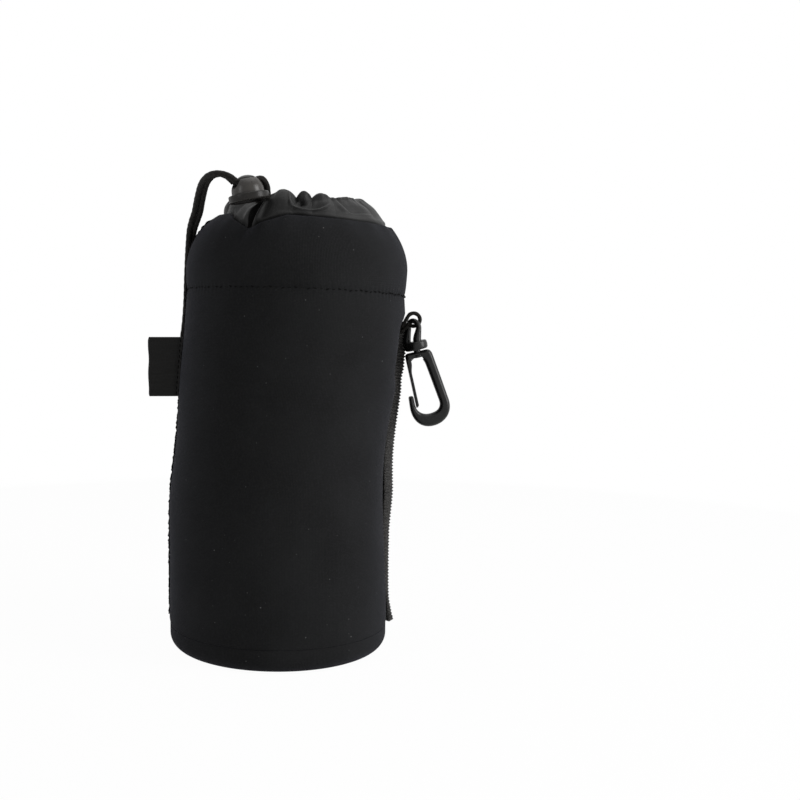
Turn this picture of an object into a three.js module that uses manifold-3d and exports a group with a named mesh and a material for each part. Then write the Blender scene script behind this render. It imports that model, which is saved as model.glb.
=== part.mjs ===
// Drawstring lens pouch: padded neoprene body, gathered nylon collar with a cord lock,
// side label, belt strap and swivel snap hook. Millimetres, +Z up, front towards -Y.
// The origin is the centre of the base, on the surface that the pouch stands on.
import * as THREE from 'three';
import { mergeVertices } from 'three/addons/utils/BufferGeometryUtils.js';
import Module from 'manifold-3d';

const wasm = await Module();
wasm.setup();

const fullTurn = 2 * Math.PI;
const degrees = Math.PI / 180;

// General
const clearance = 0.3;              // between pieces that lie against each other
const cutMargin = 4;                // how far a cutting tool runs past what it cuts

// Padded body
const bodyRadius = 46;
const wall = 4;
const baseSeam = 10;                // height of the seam between base and wall
const baseFillet = 6;
const insideFillet = 3;
const shoulderStart = 158;          // height where the wall begins to draw in
const shoulderInset = 24;           // how far the shoulder's ellipse reaches inwards
const shoulderRise = 26;
const leanReach = 8;                // sideways slump of the soft wall, towards +X
const leanStart = 60;
const leanEnd = 155;
const waistDepth = 1.5;
const waistHeight = 88;
const waistSpan = 22;
const wallLevels = 7;
const shoulderSteps = 4;

// Rim of the neoprene, as an angle on the shoulder's ellipse
const rimAngle = 54 * degrees;
const rimTilt = 11 * degrees;       // the rim sits higher on the left than on the right
const notchAngle = -122 * degrees;  // the V that the cord pulls into the rim
const notchHalfWidth = 25 * degrees;
const notchDrop = 22 * degrees;
const notchDent = 2.2;

// Gathered nylon collar
const nylon = 0.9;
const skirtLength = 10;             // sewn skirt inside the wall, below the shoulder
const mouthShift = 1.5;             // the mouth lies a little off the body's centre
const hemRadius = 29;
const hemRise = 29.2;               // top of the hem above the start of the shoulder
const hemDepth = 6;                 // of the casing's inner flap
const hemFoot = 4;                  // of its outer face
const slopeSwell = 0.24;            // swell of the slope below the hem, as a share of its length
const rimGap = 1.2 * degrees;       // the nylon clears the rim by this much climb
const rollOut = 4 * degrees;        // and has rolled out over it here
const rollDepth = 0.3;              // share of the wall that stays outside it there
const gathers = 12;
const gatherPhase = -117 * degrees;
const gatherDepth = 1.8;
const gatherRise = 2.2;
const stepsPerGather = 5;
const turnSteps = gathers * stepsPerGather;
const hemGapAngle = -124 * degrees; // where the cord leaves the casing
const hemGapHalfWidth = 13 * degrees;
const hemGapDip = 4.7;

// Draw cord
const cordDiameter = 2.4;
const cordSides = 8;
const strandSpacing = 2.7;
const ringSteps = 40;

// Cord lock, heights measured from the foot of its button
const lockX = -11;
const lockY = -36;
const lockBelowHem = 2.7;
const lockTilt = 10 * degrees;
const lockTurn = -25 * degrees;
const barrelRadius = 6.4;
const domeStart = 4;                // height where the barrel begins to round over
const domeRise = 6.2;
const domeFullness = 2.6;           // power of the dome's outline, where 2 is an ellipse
const buttonRadius = 7.9;
const buttonHeight = 3;
const buttonFloor = 1;              // the button is a cup that the barrel sinks into
const buttonEdge = 0.9;
const brimEdge = 0.4;
const plungerTravel = 1.5;
const stemRadius = 3.8;
const strandHeight = 7;
const springSeat = 4.8;             // height of the step that the spring presses on
const springWire = 0.4;
const springTurns = 3;

// Side label
const labelBottom = 106.1;
const labelHeight = 25;
const labelOut = 8.7;               // how far its outer edge stands out past the body's radius
const labelThickness = 0.9;

// Belt strap of webbing
const strapAngle = 32 * degrees;
const strapWidth = 30;
const webbing = 1.6;
const strapTop = 137;
const strapHinge = 122.3;
const strapBottom = 5.2;
const strapFoldLength = 9;
const strapFlare = 2.2;
const strapFlatTop = 72;            // above this the strap is flat across
const strapFlatBottom = 52;         // below this it follows the wall
const tapeThickness = 1;
const tapeWidth = 20;
const tapeBottom = 22;
const tapeLength = 32;
const acrossSteps = 8;

// Snap hook, distances measured down its shank from the centre of the cord loop
const loopStandoff = 12.2;          // from the body's side to the centre of the cord loop
const loopCentre = new THREE.Vector3(bodyRadius + loopStandoff, 10, 138.2);
const loopRadius = 2.75;
const loopCord = 1.7;
const loopRoot = 3;                 // its two ends lie this far below the top of the strap
const hookTilt = 13 * degrees;
const shankOffset = -1.4;           // the swivel axis lies a little left of the loop's centre
const bailWire = 2.4;
const bailTurn = 55 * degrees;
const bailBend = 3.1;
const bailFoot = 3.4;
const collarTop = 9.2;
const collarHeight = 3.7;
const collarRadius = 4.9;
const postRadius = 1.5;
const headRadius = 2.3;
const headHeight = 1;
const hookTop = 13.6;
const shoulderBar = 1.4;            // bar left above the swivel's head
const hookLength = 33;
const hookDepth = 4.4;
const hookBevel = 0.7;
const gateTop = 17.5;
const gateTip = 37.2;
const gateThickness = 1;
const gateFace = -6.95;             // outer face of the gate, left of the shank
const gateDepth = 3.2;
const hookCorner = 1.6;
const spineTop = 4.8;               // outer face of the spine at its top, and at the bend below
const spineBend = 7.4;
const bendStart = 36.5;
const spineWidth = 3.85;
const bowTop = 16.4;                // ends of the hollow bow, and its middle
const bowBottom = 41;
const bowMiddle = -2;
const noseTop = 31.8;
const noseWidth = 2.45;

// Finishes
const finish = (colour, roughness, metalness = 0) =>
  new THREE.MeshStandardMaterial({ color: colour, roughness, metalness });

const pouch = new THREE.Group();

function addPiece(name, geometry, material, parent = pouch) {
  const mesh = new THREE.Mesh(geometry, material);
  mesh.name = name;
  parent.add(mesh);
  return mesh;
}

// Solids from points

function geometryFrom(points, triangles) {
  const geometry = new THREE.BufferGeometry();
  const flat = points.flatMap((point) => [point.x, point.y, point.z]);
  geometry.setAttribute('position', new THREE.Float32BufferAttribute(flat, 3));
  geometry.setIndex(triangles);
  geometry.computeVertexNormals();
  return geometry;
}

// A ring that closes on itself; section(angle) gives its outline, outer side first and upwards.
function ringSolid(section, steps) {
  const points = [];
  const triangles = [];
  let count = 0;
  for (let turn = 0; turn < steps; turn += 1) {
    const outline = section((turn / steps) * fullTurn);
    count = outline.length;
    points.push(...outline);
  }
  for (let turn = 0; turn < steps; turn += 1) {
    const here = turn * count;
    const next = ((turn + 1) % steps) * count;
    for (let side = 0; side < count; side += 1) {
      const up = (side + 1) % count;
      triangles.push(here + side, next + side, next + up, here + side, next + up, here + up);
    }
  }
  return geometryFrom(points, triangles);
}

// A slab between two matching grids of points, closed round its border.
function slab(outer, inner) {
  const rows = outer.length;
  const columns = outer[0].length;
  const size = rows * columns;
  const points = [...outer.flat(), ...inner.flat()];
  const triangles = [];
  const quad = (a, b, c, d) => triangles.push(a, b, c, a, c, d);
  for (let row = 0; row + 1 < rows; row += 1) {
    for (let column = 0; column + 1 < columns; column += 1) {
      const a = row * columns + column;
      const b = a + 1;
      const c = b + columns;
      const d = a + columns;
      quad(a, b, c, d);
      quad(size + d, size + c, size + b, size + a);
    }
  }
  const border = [];
  for (let column = 0; column < columns; column += 1) border.push(column);
  for (let row = 1; row < rows; row += 1) border.push(row * columns + columns - 1);
  for (let column = columns - 2; column >= 0; column -= 1) border.push((rows - 1) * columns + column);
  for (let row = rows - 2; row > 0; row -= 1) border.push(row * columns);
  border.forEach((from, index) => {
    const to = border[(index + 1) % border.length];
    quad(to, from, size + from, size + to);
  });
  return geometryFrom(points, triangles);
}

function circleShape(radius, sides) {
  const shape = new THREE.Shape();
  for (let side = 0; side < sides; side += 1) {
    const angle = (side / sides) * fullTurn;
    const x = radius * Math.cos(angle);
    const y = radius * Math.sin(angle);
    if (side === 0) shape.moveTo(x, y);
    else shape.lineTo(x, y);
  }
  shape.closePath();
  return shape;
}

function tube(points, radius, sides, steps) {
  const extrudePath = new THREE.CatmullRomCurve3(points, false, 'centripetal');
  return new THREE.ExtrudeGeometry(circleShape(radius, sides), { extrudePath, steps, bevelEnabled: false });
}

function uprightCylinder(radius, bottom, top, sides = 24) {
  const geometry = new THREE.CylinderGeometry(radius, radius, top - bottom, sides);
  geometry.rotateX(Math.PI / 2);
  geometry.translate(0, 0, (top + bottom) / 2);
  return geometry;
}

function uprightLathe(profile, steps) {
  const geometry = new THREE.LatheGeometry(profile.map(([r, z]) => new THREE.Vector2(r, z)), steps);
  geometry.rotateX(Math.PI / 2);
  return geometry;
}

// Joins and cuts

function solidOf(geometry) {
  const bare = geometry.clone();
  bare.deleteAttribute('normal');
  bare.deleteAttribute('uv');
  const merged = mergeVertices(bare, 1e-4);
  return new wasm.Manifold(new wasm.Mesh({
    numProp: 3,
    vertProperties: new Float32Array(merged.attributes.position.array),
    triVerts: new Uint32Array(merged.index.array),
  }));
}

function geometryOf(solid) {
  const mesh = solid.getMesh();
  const geometry = new THREE.BufferGeometry();
  geometry.setAttribute('position', new THREE.Float32BufferAttribute(mesh.vertProperties, 3));
  geometry.setIndex(Array.from(mesh.triVerts));
  geometry.computeVertexNormals();
  return geometry;
}

const cut = (geometry, ...tools) =>
  geometryOf(tools.reduce((solid, tool) => solid.subtract(solidOf(tool)), solidOf(geometry)));
const join = (geometry, ...others) =>
  geometryOf(others.reduce((solid, other) => solid.add(solidOf(other)), solidOf(geometry)));

// Shape of the soft body

const smooth = (from, to, value) => THREE.MathUtils.smoothstep(value, from, to);
const leanAt = (z) => leanReach * smooth(leanStart, leanEnd, z);
const radiusAt = (z) => bodyRadius - waistDepth * Math.exp(-(((z - waistHeight) / waistSpan) ** 2));
const turnBetween = (a, b) => Math.abs(Math.atan2(Math.sin(a - b), Math.cos(a - b)));
const notchAt = (angle) => Math.max(0, 1 - turnBetween(angle, notchAngle) / notchHalfWidth);
const rimAt = (angle) => rimAngle - rimTilt * Math.cos(angle) - notchDrop * notchAt(angle);

function placed(angle, radius, z, centre = leanAt(z)) {
  return new THREE.Vector3(centre + radius * Math.cos(angle), radius * Math.sin(angle), z);
}

// Point on the wall, `depth` inside its outer face.
function wallPoint(angle, z, depth) {
  return placed(angle, radiusAt(z) - depth, z);
}

// Point on the shoulder, at `climb` along its ellipse and `depth` inside its outer face.
function shoulderPoint(angle, climb, depth) {
  const dent = notchDent * notchAt(angle) * (climb / rimAt(angle)) ** 2;
  const radius = bodyRadius - shoulderInset + (shoulderInset - depth) * Math.cos(climb) - dent;
  const z = shoulderStart + (shoulderRise - depth) * Math.sin(climb);
  return placed(angle, radius, z, leanReach);
}

// Base and wall

function baseCup() {
  const top = baseSeam - clearance / 2;
  const outer = new THREE.Path();
  outer.moveTo(0, 0);
  outer.lineTo(bodyRadius - baseFillet, 0);
  outer.absarc(bodyRadius - baseFillet, baseFillet, baseFillet, -Math.PI / 2, 0, false);
  outer.lineTo(bodyRadius, top);
  outer.lineTo(bodyRadius - wall, top);
  outer.lineTo(bodyRadius - wall, wall + insideFillet);
  outer.absarc(bodyRadius - wall - insideFillet, wall + insideFillet, insideFillet, 0, -Math.PI / 2, true);
  outer.lineTo(0, wall);
  const profile = outer.getPoints(2).map((point) => [point.x, point.y]);
  const tidy = profile.filter((point, index) => index === 0
    || Math.hypot(point[0] - profile[index - 1][0], point[1] - profile[index - 1][1]) > 1e-6);
  return uprightLathe(tidy, turnSteps);
}

// Line up the shoulder from its start to the rim.
function shoulderLine(angle, depth) {
  const line = [];
  for (let step = 1; step <= shoulderSteps; step += 1) {
    line.push(shoulderPoint(angle, rimAt(angle) * (step / shoulderSteps), depth));
  }
  return line;
}

function wallSection(angle) {
  const bottom = baseSeam + clearance / 2;
  const face = (depth) => {
    const line = [];
    for (let level = 0; level <= wallLevels; level += 1) {
      line.push(wallPoint(angle, THREE.MathUtils.lerp(bottom, shoulderStart, level / wallLevels), depth));
    }
    return [...line, ...shoulderLine(angle, depth)];
  };
  return [...face(0), ...face(wall).reverse()];
}

// Gathered collar with its cord casing

const mouthX = leanReach + mouthShift;
const hemTop = shoulderStart + hemRise;
const cordRadius = cordDiameter / 2;
const cordRing = hemRadius - nylon - clearance - cordRadius;
const cordHeight = hemTop - nylon - clearance - cordRadius;
const casingInside = cordRing - cordRadius - clearance;

const gatherAt = (angle) => 0.5 + 0.5 * Math.cos(gathers * (angle - gatherPhase) + Math.PI);
const hemDipAt = (angle) =>
  hemGapDip * (1 - smooth(0.45, 1, turnBetween(angle, hemGapAngle) / hemGapHalfWidth));

function collarSection(angle) {
  const rim = rimAt(angle);
  const lining = wall + clearance;
  const out = gatherDepth * gatherAt(angle);
  const top = hemTop + gatherRise * gatherAt(angle) - hemDipAt(angle);
  const cordRoof = hemTop - nylon - hemDipAt(angle);
  const hemPoint = (radius, z) => placed(angle, radius, z, mouthX);
  const skin = (depth) => {
    const foot = hemPoint(hemRadius - depth + 0.3 * out, hemTop - hemFoot - hemDipAt(angle));
    const rimExit = shoulderPoint(angle, rim + rollOut, wall * rollDepth + depth);
    const swell = placed(angle, 1, 1, 0).setLength(slopeSwell * rimExit.distanceTo(foot));
    return [
      wallPoint(angle, shoulderStart - skirtLength, lining + depth),
      wallPoint(angle, shoulderStart, lining + depth),
      ...shoulderLine(angle, lining + depth),
      shoulderPoint(angle, rim + rimGap, lining + depth),
      rimExit,
      rimExit.clone().lerp(foot, 0.5).add(swell),
      foot,
    ];
  };
  const outside = [
    ...skin(0),
    hemPoint(hemRadius + out, top - 1.8 * nylon),
    hemPoint(hemRadius - 1.4 * nylon, top),
    hemPoint(casingInside, top - 0.4 * nylon),
    hemPoint(casingInside - nylon - out, top - 2.4 * nylon),
    hemPoint(casingInside - nylon - 0.6 * out, hemTop - hemDepth - hemDipAt(angle)),
  ];
  const inside = [
    hemPoint(casingInside - 0.6 * out, hemTop - hemDepth - hemDipAt(angle)),
    hemPoint(casingInside - 0.5 * out, cordRoof - nylon),
    hemPoint(casingInside + 0.4, cordRoof),
    hemPoint(hemRadius - nylon - 0.4, cordRoof),
    hemPoint(hemRadius - nylon + 0.5 * out, cordRoof - nylon),
    ...skin(nylon).reverse(),
  ];
  return [...outside, ...inside];
}

// Cord lock: its group stands on the button's foot, X along the cord bore, Z up the plunger

const lock = new THREE.Group();
lock.position.set(lockX, lockY, hemTop - lockBelowHem);
lock.rotation.set(0, -lockTilt, -lockTurn, 'YXZ');
lock.updateMatrixWorld(true);
pouch.add(lock);

const domeShare = (share) => (1 - share ** domeFullness) ** (1 / domeFullness);
const domeHeightAt = (radius) => domeStart + domeRise * domeShare(radius / barrelRadius);
const boreLength = barrelRadius * domeShare((strandHeight - domeStart) / domeRise);
const slotWidth = strandSpacing + cordDiameter + 2 * clearance;
const barrelBottom = buttonFloor + plungerTravel + clearance;
const stemBore = stemRadius + clearance;
const springInside = stemRadius + clearance;
const springOutside = springInside + springWire;
const counterBore = springOutside + clearance;
const cupInside = barrelRadius + clearance;

// Outline of the dome between two radii, from the outside in.
function domeLine(from, to, steps) {
  const line = [];
  for (let step = 0; step <= steps; step += 1) {
    const radius = from + (to - from) * Math.sin((step / steps) * Math.PI / 2);
    line.push([radius, domeHeightAt(radius)]);
  }
  return line;
}

// A slot along X with round ends across Y, between two heights.
function cordSlot(width, bottom, top, reach) {
  const radius = Math.min(cordRadius + clearance, (top - bottom) / 2);
  const half = width / 2 - radius;
  const shape = new THREE.Shape();
  shape.absarc(half, bottom + radius, radius, -Math.PI / 2, 0, false);
  shape.absarc(half, top - radius, radius, 0, Math.PI / 2, false);
  shape.absarc(-half, top - radius, radius, Math.PI / 2, Math.PI, false);
  shape.absarc(-half, bottom + radius, radius, Math.PI, 1.5 * Math.PI, false);
  const options = { depth: 2 * reach, bevelEnabled: false, curveSegments: 4 };
  const geometry = new THREE.ExtrudeGeometry(shape, options);
  geometry.translate(0, 0, -reach);
  geometry.rotateX(Math.PI / 2);
  geometry.rotateZ(Math.PI / 2);
  return geometry;
}

function lockBarrel() {
  const body = uprightLathe([
    [counterBore, barrelBottom],
    [barrelRadius, barrelBottom],
    ...domeLine(barrelRadius, stemBore, 6),
    [stemBore, springSeat],
    [counterBore, springSeat],
    [counterBore, barrelBottom],
  ], 24);
  const half = cordRadius + clearance;
  return cut(body, cordSlot(slotWidth, strandHeight - half, strandHeight + half, 2 * barrelRadius));
}

function lockPlunger() {
  const edge = new THREE.Path();
  edge.moveTo(0, 0);
  edge.lineTo(buttonRadius - buttonEdge, 0);
  edge.absarc(buttonRadius - buttonEdge, buttonEdge, buttonEdge, -Math.PI / 2, 0, false);
  edge.absarc(buttonRadius - brimEdge, buttonHeight - brimEdge, brimEdge, 0, Math.PI / 2, false);
  const brim = edge.getPoints(2).map((point) => [point.x, point.y]);
  const body = uprightLathe([
    ...brim,
    [cupInside, buttonHeight],
    [cupInside, buttonFloor],
    [stemRadius, buttonFloor],
    ...domeLine(stemRadius, 0, 4),
  ], 24);
  const slotBottom = strandHeight - cordRadius - clearance - plungerTravel;
  const slotTop = strandHeight + cordRadius + clearance / 2;
  return cut(body, cordSlot(slotWidth, slotBottom, slotTop, 2 * stemRadius));
}

function lockSpring() {
  const middle = (springInside + springOutside) / 2;
  const bottom = buttonFloor + clearance + springWire / 2;
  const top = springSeat - clearance - springWire / 2;
  const points = [];
  const steps = Math.round(springTurns * 8);
  for (let step = 0; step <= steps; step += 1) {
    const angle = (step / steps) * springTurns * fullTurn;
    const z = THREE.MathUtils.lerp(bottom, top, step / steps);
    points.push(new THREE.Vector3(middle * Math.cos(angle), middle * Math.sin(angle), z));
  }
  const leastGap = (top - bottom) / springTurns - springWire;
  console.log(`lock spring: least gap between turns ${leastGap.toFixed(2)} mm`);
  return tube(points, springWire / 2, 5, steps);
}

// Draw cord: two strands through the lock, over to the gap in the casing and round it

const lockPoint = (along, across, up) => lock.localToWorld(new THREE.Vector3(along, across, up));
const ringPoint = (angle) => placed(angle, cordRing, cordHeight, mouthX);

// Hand-chosen stretch of each strand between the lock and the casing.
const strandFront = [[-4.7, -33.6, 192.3], [-3.9, -32, 190.8], [-3.8, -29.8, 188.8], [-4.2, -27.6, 187.2],
  [-4.3, -26, 186]].map((point) => new THREE.Vector3(...point));
const strandBack = [[-6.2, -30.8, 192], [-6.2, -28.8, 190.8], [-6.6, -26.9, 189], [-7.3, -25, 187.2],
  [-7.8, -22.8, 185.6]].map((point) => new THREE.Vector3(...point));

function drawCord(radius) {
  const out = boreLength + 0.6;
  const half = strandSpacing / 2;
  const start = hemGapAngle + hemGapHalfWidth * 0.7;
  const sweep = fullTurn - 1.4 * hemGapHalfWidth;
  const points = [lockPoint(-out, -half, strandHeight), lockPoint(0, -half, strandHeight),
    lockPoint(out, -half, strandHeight), ...strandFront];
  for (let step = 0; step <= ringSteps; step += 1) {
    points.push(ringPoint(start + sweep * (step / ringSteps)));
  }
  points.push(...strandBack.slice().reverse());
  points.push(lockPoint(out, half, strandHeight), lockPoint(0, half, strandHeight),
    lockPoint(-out, half, strandHeight));
  return tube(points, radius, cordSides, 76);
}

// The collar with the way that the cord needs through the ends of its casing.
const gatheredCollar = () => cut(ringSolid(collarSection, turnSteps), drawCord(cordRadius + clearance));

// Free tail of the cord: middle line of the doubled strands, and the way they lie side by side
const tailRoute = [
  [-21.6, -39.6, 191.6, 104, 1.35], [-23.2, -38, 194, 76, 1.35], [-24.9, -34.8, 195.4, 44, 1.35],
  [-26.9, -30.2, 194.8, 32, 1.35], [-28.8, -25.2, 192.6, 26, 1.35], [-30.5, -20.2, 189.9, 22, 1.35],
  [-32.2, -15, 187, 18, 1.35], [-33.4, -10, 183.2, 14, 1.35], [-34.5, -4.5, 179.3, 20, 1.35],
  [-36, 1, 175.8, 40, 1.35], [-37, 5.6, 171.2, 60, 1.4], [-38, 11, 165, 70, 1.5],
  [-38.6, 13.4, 156, 74, 1.8], [-38.9, 14.2, 146, 76, 2.4], [-39.3, 14.4, 136, 76, 3.6],
  [-40, 14.4, 128, 76, 4.7],
];
const tailEnd = { middle: new THREE.Vector3(-40.4, 14.4, 122.5), radius: 5, facing: 76 };

function drawCordTail() {
  const sideways = (angle) => new THREE.Vector3(Math.cos(angle * degrees), Math.sin(angle * degrees), 0);
  const strand = (side) => tailRoute.map(([x, y, z, angle, half]) =>
    new THREE.Vector3(x, y, z).addScaledVector(sideways(angle), side * half));
  const out = boreLength + 0.6 + clearance;
  const half = strandSpacing / 2;
  const bend = [];
  for (let step = 0; step <= 6; step += 1) {
    const turn = (step / 6) * Math.PI;
    bend.push(tailEnd.middle.clone()
      .addScaledVector(sideways(tailEnd.facing), -tailEnd.radius * Math.cos(turn))
      .add(new THREE.Vector3(0, 0, -tailEnd.radius * Math.sin(turn))));
  }
  const points = [
    lockPoint(-out, -half, strandHeight), lockPoint(-out - 1.5, -half, strandHeight + 0.2),
    ...strand(-1), ...bend, ...strand(1).reverse(),
    lockPoint(-out - 1.5, half, strandHeight + 0.2), lockPoint(-out, half, strandHeight),
  ];
  return tube(points, cordRadius, cordSides, 64);
}

// Side label: a folded band that stands out of the left side seam

function sideLabel() {
  const rows = 5;
  const outer = [];
  const inner = [];
  for (let row = 0; row <= rows; row += 1) {
    const z = labelBottom + labelHeight * (row / rows);
    const seam = leanAt(z) - radiusAt(z) - clearance;
    const half = labelThickness / 2;
    const edge = -bodyRadius - labelOut;
    outer.push([new THREE.Vector3(edge, -half, z), new THREE.Vector3(seam, -half, z)]);
    inner.push([new THREE.Vector3(edge, half, z), new THREE.Vector3(seam, half, z)]);
  }
  return slab(outer, inner);
}

// Belt strap

const outwards = new THREE.Vector3(Math.cos(strapAngle), Math.sin(strapAngle), 0);
const alongWall = new THREE.Vector3(-Math.sin(strapAngle), Math.cos(strapAngle), 0);
const loopTapeInside = bodyRadius + clearance;
const hookTapeInside = loopTapeInside + tapeThickness + clearance;
const flapInside = hookTapeInside + tapeThickness + clearance;
const anchorInside = bodyRadius + clearance;

// Point of the strap: height, distance across and distance out from the body's axis.
function strapPoint(z, across, distance) {
  const bend = 1 - smooth(strapFlatBottom, strapFlatTop, z);
  const sag = bend * (distance - Math.sqrt(distance ** 2 - across ** 2));
  return new THREE.Vector3(leanAt(z), 0, z)
    .addScaledVector(outwards, distance - sag)
    .addScaledVector(alongWall, across);
}

// A strip of the strap: rows of height, inner distance and thickness.
function strapStrip(rows, width) {
  const face = (extra) => rows.map(([z, inside, thickness]) => {
    const line = [];
    for (let step = 0; step <= acrossSteps; step += 1) {
      const across = width * (step / acrossSteps - 0.5);
      line.push(strapPoint(z, across, inside + extra * thickness));
    }
    return line;
  });
  return slab(face(1), face(0));
}

function strapAnchor() {
  const bottom = strapHinge + clearance;
  const rows = [0, 0.5, 1].map((share) =>
    [THREE.MathUtils.lerp(bottom, strapTop, share), anchorInside, webbing]);
  return strapStrip(rows, strapWidth);
}

function strapFlap() {
  const top = strapHinge - clearance;
  const foldTop = strapBottom + strapFoldLength;
  const ease = 16;
  const rows = [];
  const folded = [[0, webbing], [0.12, 1.7 * webbing], [0.5, 2.1 * webbing], [0.9, 2.1 * webbing]];
  for (const [share, thickness] of folded) {
    const z = strapBottom + strapFoldLength * share;
    rows.push([z, flapInside + strapFlare * (1 - share) ** 2, thickness]);
  }
  const levels = 10;
  for (let level = 0; level <= levels; level += 1) {
    const z = THREE.MathUtils.lerp(foldTop, top, level / levels);
    const inside = THREE.MathUtils.lerp(flapInside, anchorInside, smooth(top - ease, top, z));
    rows.push([z, inside, webbing]);
  }
  return strapStrip(rows, strapWidth);
}

function tapePatch(inside) {
  const rows = [0, 0.5, 1].map((share) => [tapeBottom + tapeLength * share, inside, tapeThickness]);
  return strapStrip(rows, tapeWidth);
}

// Cord loop that carries the hook: a ring whose two ends run back under the strap's edge

function hookLoop() {
  const spread = loopCord / 2 + clearance;
  const under = anchorInside - 2 * clearance - loopCord / 2;
  const openAngle = 135 * degrees;
  const rootHeight = strapTop - loopRoot;
  const end = (side) => strapPoint(rootHeight + side * spread, -strapWidth / 2 - clearance, under);
  const onRing = (angle) =>
    new THREE.Vector3(loopRadius * Math.cos(angle), 0, loopRadius * Math.sin(angle)).add(loopCentre);
  const halfway = (side) => end(side).lerp(onRing(side * openAngle), 0.5);
  const points = [end(1), halfway(1)];
  const arcSteps = 12;
  for (let step = 0; step <= arcSteps; step += 1) {
    points.push(onRing(openAngle * (1 - (2 * step) / arcSteps)));
  }
  points.push(halfway(-1), end(-1));
  return tube(points, loopCord / 2, 8, 32);
}

// Snap hook: its group hangs from the centre of the cord loop, Z up the shank

const hook = new THREE.Group();
hook.position.copy(loopCentre);
hook.rotation.y = -hookTilt;
pouch.add(hook);

const headTop = hookTop + shoulderBar;

function swivelEye() {
  const barHeight = -(loopRadius - loopCord / 2 - bailWire / 2 - clearance);
  const bendMiddle = barHeight - bailBend;
  const side = (across, z, shift = 0) =>
    new THREE.Vector3(shift + across * Math.cos(bailTurn), across * Math.sin(bailTurn), z);
  const points = [
    side(-bailFoot, -collarTop - 1, shankOffset),
    side(-bailFoot, -collarTop + 0.6, shankOffset),
  ];
  for (let step = 0; step <= 8; step += 1) {
    const angle = Math.PI * (1 - step / 8);
    points.push(side(bailBend * Math.cos(angle), bendMiddle + bailBend * Math.sin(angle)));
  }
  points.push(side(bailFoot, -collarTop + 0.6, shankOffset), side(bailFoot, -collarTop - 1, shankOffset));
  const bail = tube(points, bailWire / 2, 8, 28);
  const chamfer = 0.8;
  const body = uprightLathe([
    [0, -headTop - clearance - headHeight],
    [headRadius, -headTop - clearance - headHeight],
    [headRadius, -headTop - clearance],
    [postRadius, -headTop - clearance],
    [postRadius, -collarTop - collarHeight],
    [collarRadius - chamfer, -collarTop - collarHeight],
    [collarRadius, -collarTop - collarHeight + chamfer],
    [collarRadius, -collarTop - chamfer],
    [collarRadius - chamfer, -collarTop],
    [0, -collarTop],
  ], 20);
  body.translate(shankOffset, 0, 0);
  return join(body, bail);
}

// Outline of the hook in its own plane, X across and Y up the shank.
function hookOutline() {
  const bottom = -(hookTop + hookLength);
  const inner = gateFace - clearance;
  const noseOut = inner - noseWidth;
  const bendDrop = -bendStart - bottom;
  const bendInner = spineBend - 1.1 * spineWidth;
  const shape = new THREE.Shape();
  shape.moveTo(gateFace, -gateTop + clearance);
  shape.lineTo(gateFace, -hookTop - hookCorner);
  shape.quadraticCurveTo(gateFace, -hookTop, gateFace + hookCorner, -hookTop);
  shape.lineTo(spineTop - 1.5 * hookCorner, -hookTop);
  shape.quadraticCurveTo(spineTop - 0.25 * hookCorner, -hookTop, spineTop, -hookTop - 1.6 * hookCorner);
  shape.lineTo(spineBend, -bendStart);
  shape.bezierCurveTo(spineBend + 0.5 * hookCorner, -bendStart - 0.56 * bendDrop,
    spineBend - 2 * hookCorner, bottom, bowMiddle + 0.25 * hookCorner, bottom);
  shape.bezierCurveTo(noseOut + 1.7 * hookCorner, bottom,
    noseOut - 0.1 * hookCorner, -bendStart - 0.6 * bendDrop, noseOut, -bendStart - 0.05 * bendDrop);
  shape.lineTo(noseOut + 0.2 * hookCorner, -noseTop - 0.5 * hookCorner);
  shape.quadraticCurveTo(noseOut + 0.25 * hookCorner, -noseTop, noseOut + 0.8 * hookCorner, -noseTop);
  shape.quadraticCurveTo(inner - 0.06 * hookCorner, -noseTop, inner, -noseTop - 0.5 * hookCorner);
  shape.lineTo(inner, -bendStart);
  shape.bezierCurveTo(inner, -bowBottom + 0.2 * bendDrop,
    bowMiddle - 2 * hookCorner, -bowBottom, bowMiddle, -bowBottom);
  shape.bezierCurveTo(bowMiddle + 2.4 * hookCorner, -bowBottom,
    bendInner + 0.4 * hookCorner, -bowBottom + hookCorner, bendInner, -bendStart);
  shape.lineTo(spineTop - spineWidth, -bowTop - 2.2 * hookCorner);
  shape.bezierCurveTo(spineTop - 1.1 * spineWidth, -bowTop - 0.75 * hookCorner,
    bowMiddle + 0.9 * hookCorner, -bowTop, bowMiddle, -bowTop);
  shape.quadraticCurveTo(bowMiddle - 1.25 * hookCorner, -bowTop,
    gateFace + 1.8 * gateThickness, -gateTop + clearance);
  shape.closePath();
  return shape;
}

function hookBody() {
  const frame = new THREE.ExtrudeGeometry(hookOutline(), {
    depth: hookDepth - 2 * hookBevel,
    bevelEnabled: true,
    bevelThickness: hookBevel,
    bevelSize: hookBevel,
    bevelOffset: -hookBevel,
    bevelSegments: 1,
    curveSegments: 4,
  });
  frame.translate(0, 0, -(hookDepth - 2 * hookBevel) / 2);
  frame.rotateX(Math.PI / 2);
  const bore = uprightCylinder(postRadius + clearance, -headTop - cutMargin, -hookTop + cutMargin, 20);
  bore.translate(shankOffset, 0, 0);
  const pocketFloor = -headTop - headHeight - 2 * clearance - cutMargin / 4;
  const pocket = uprightCylinder(headRadius + clearance, pocketFloor, -headTop, 20);
  pocket.translate(shankOffset, 0, 0);
  return cut(frame, bore, pocket);
}

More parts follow.
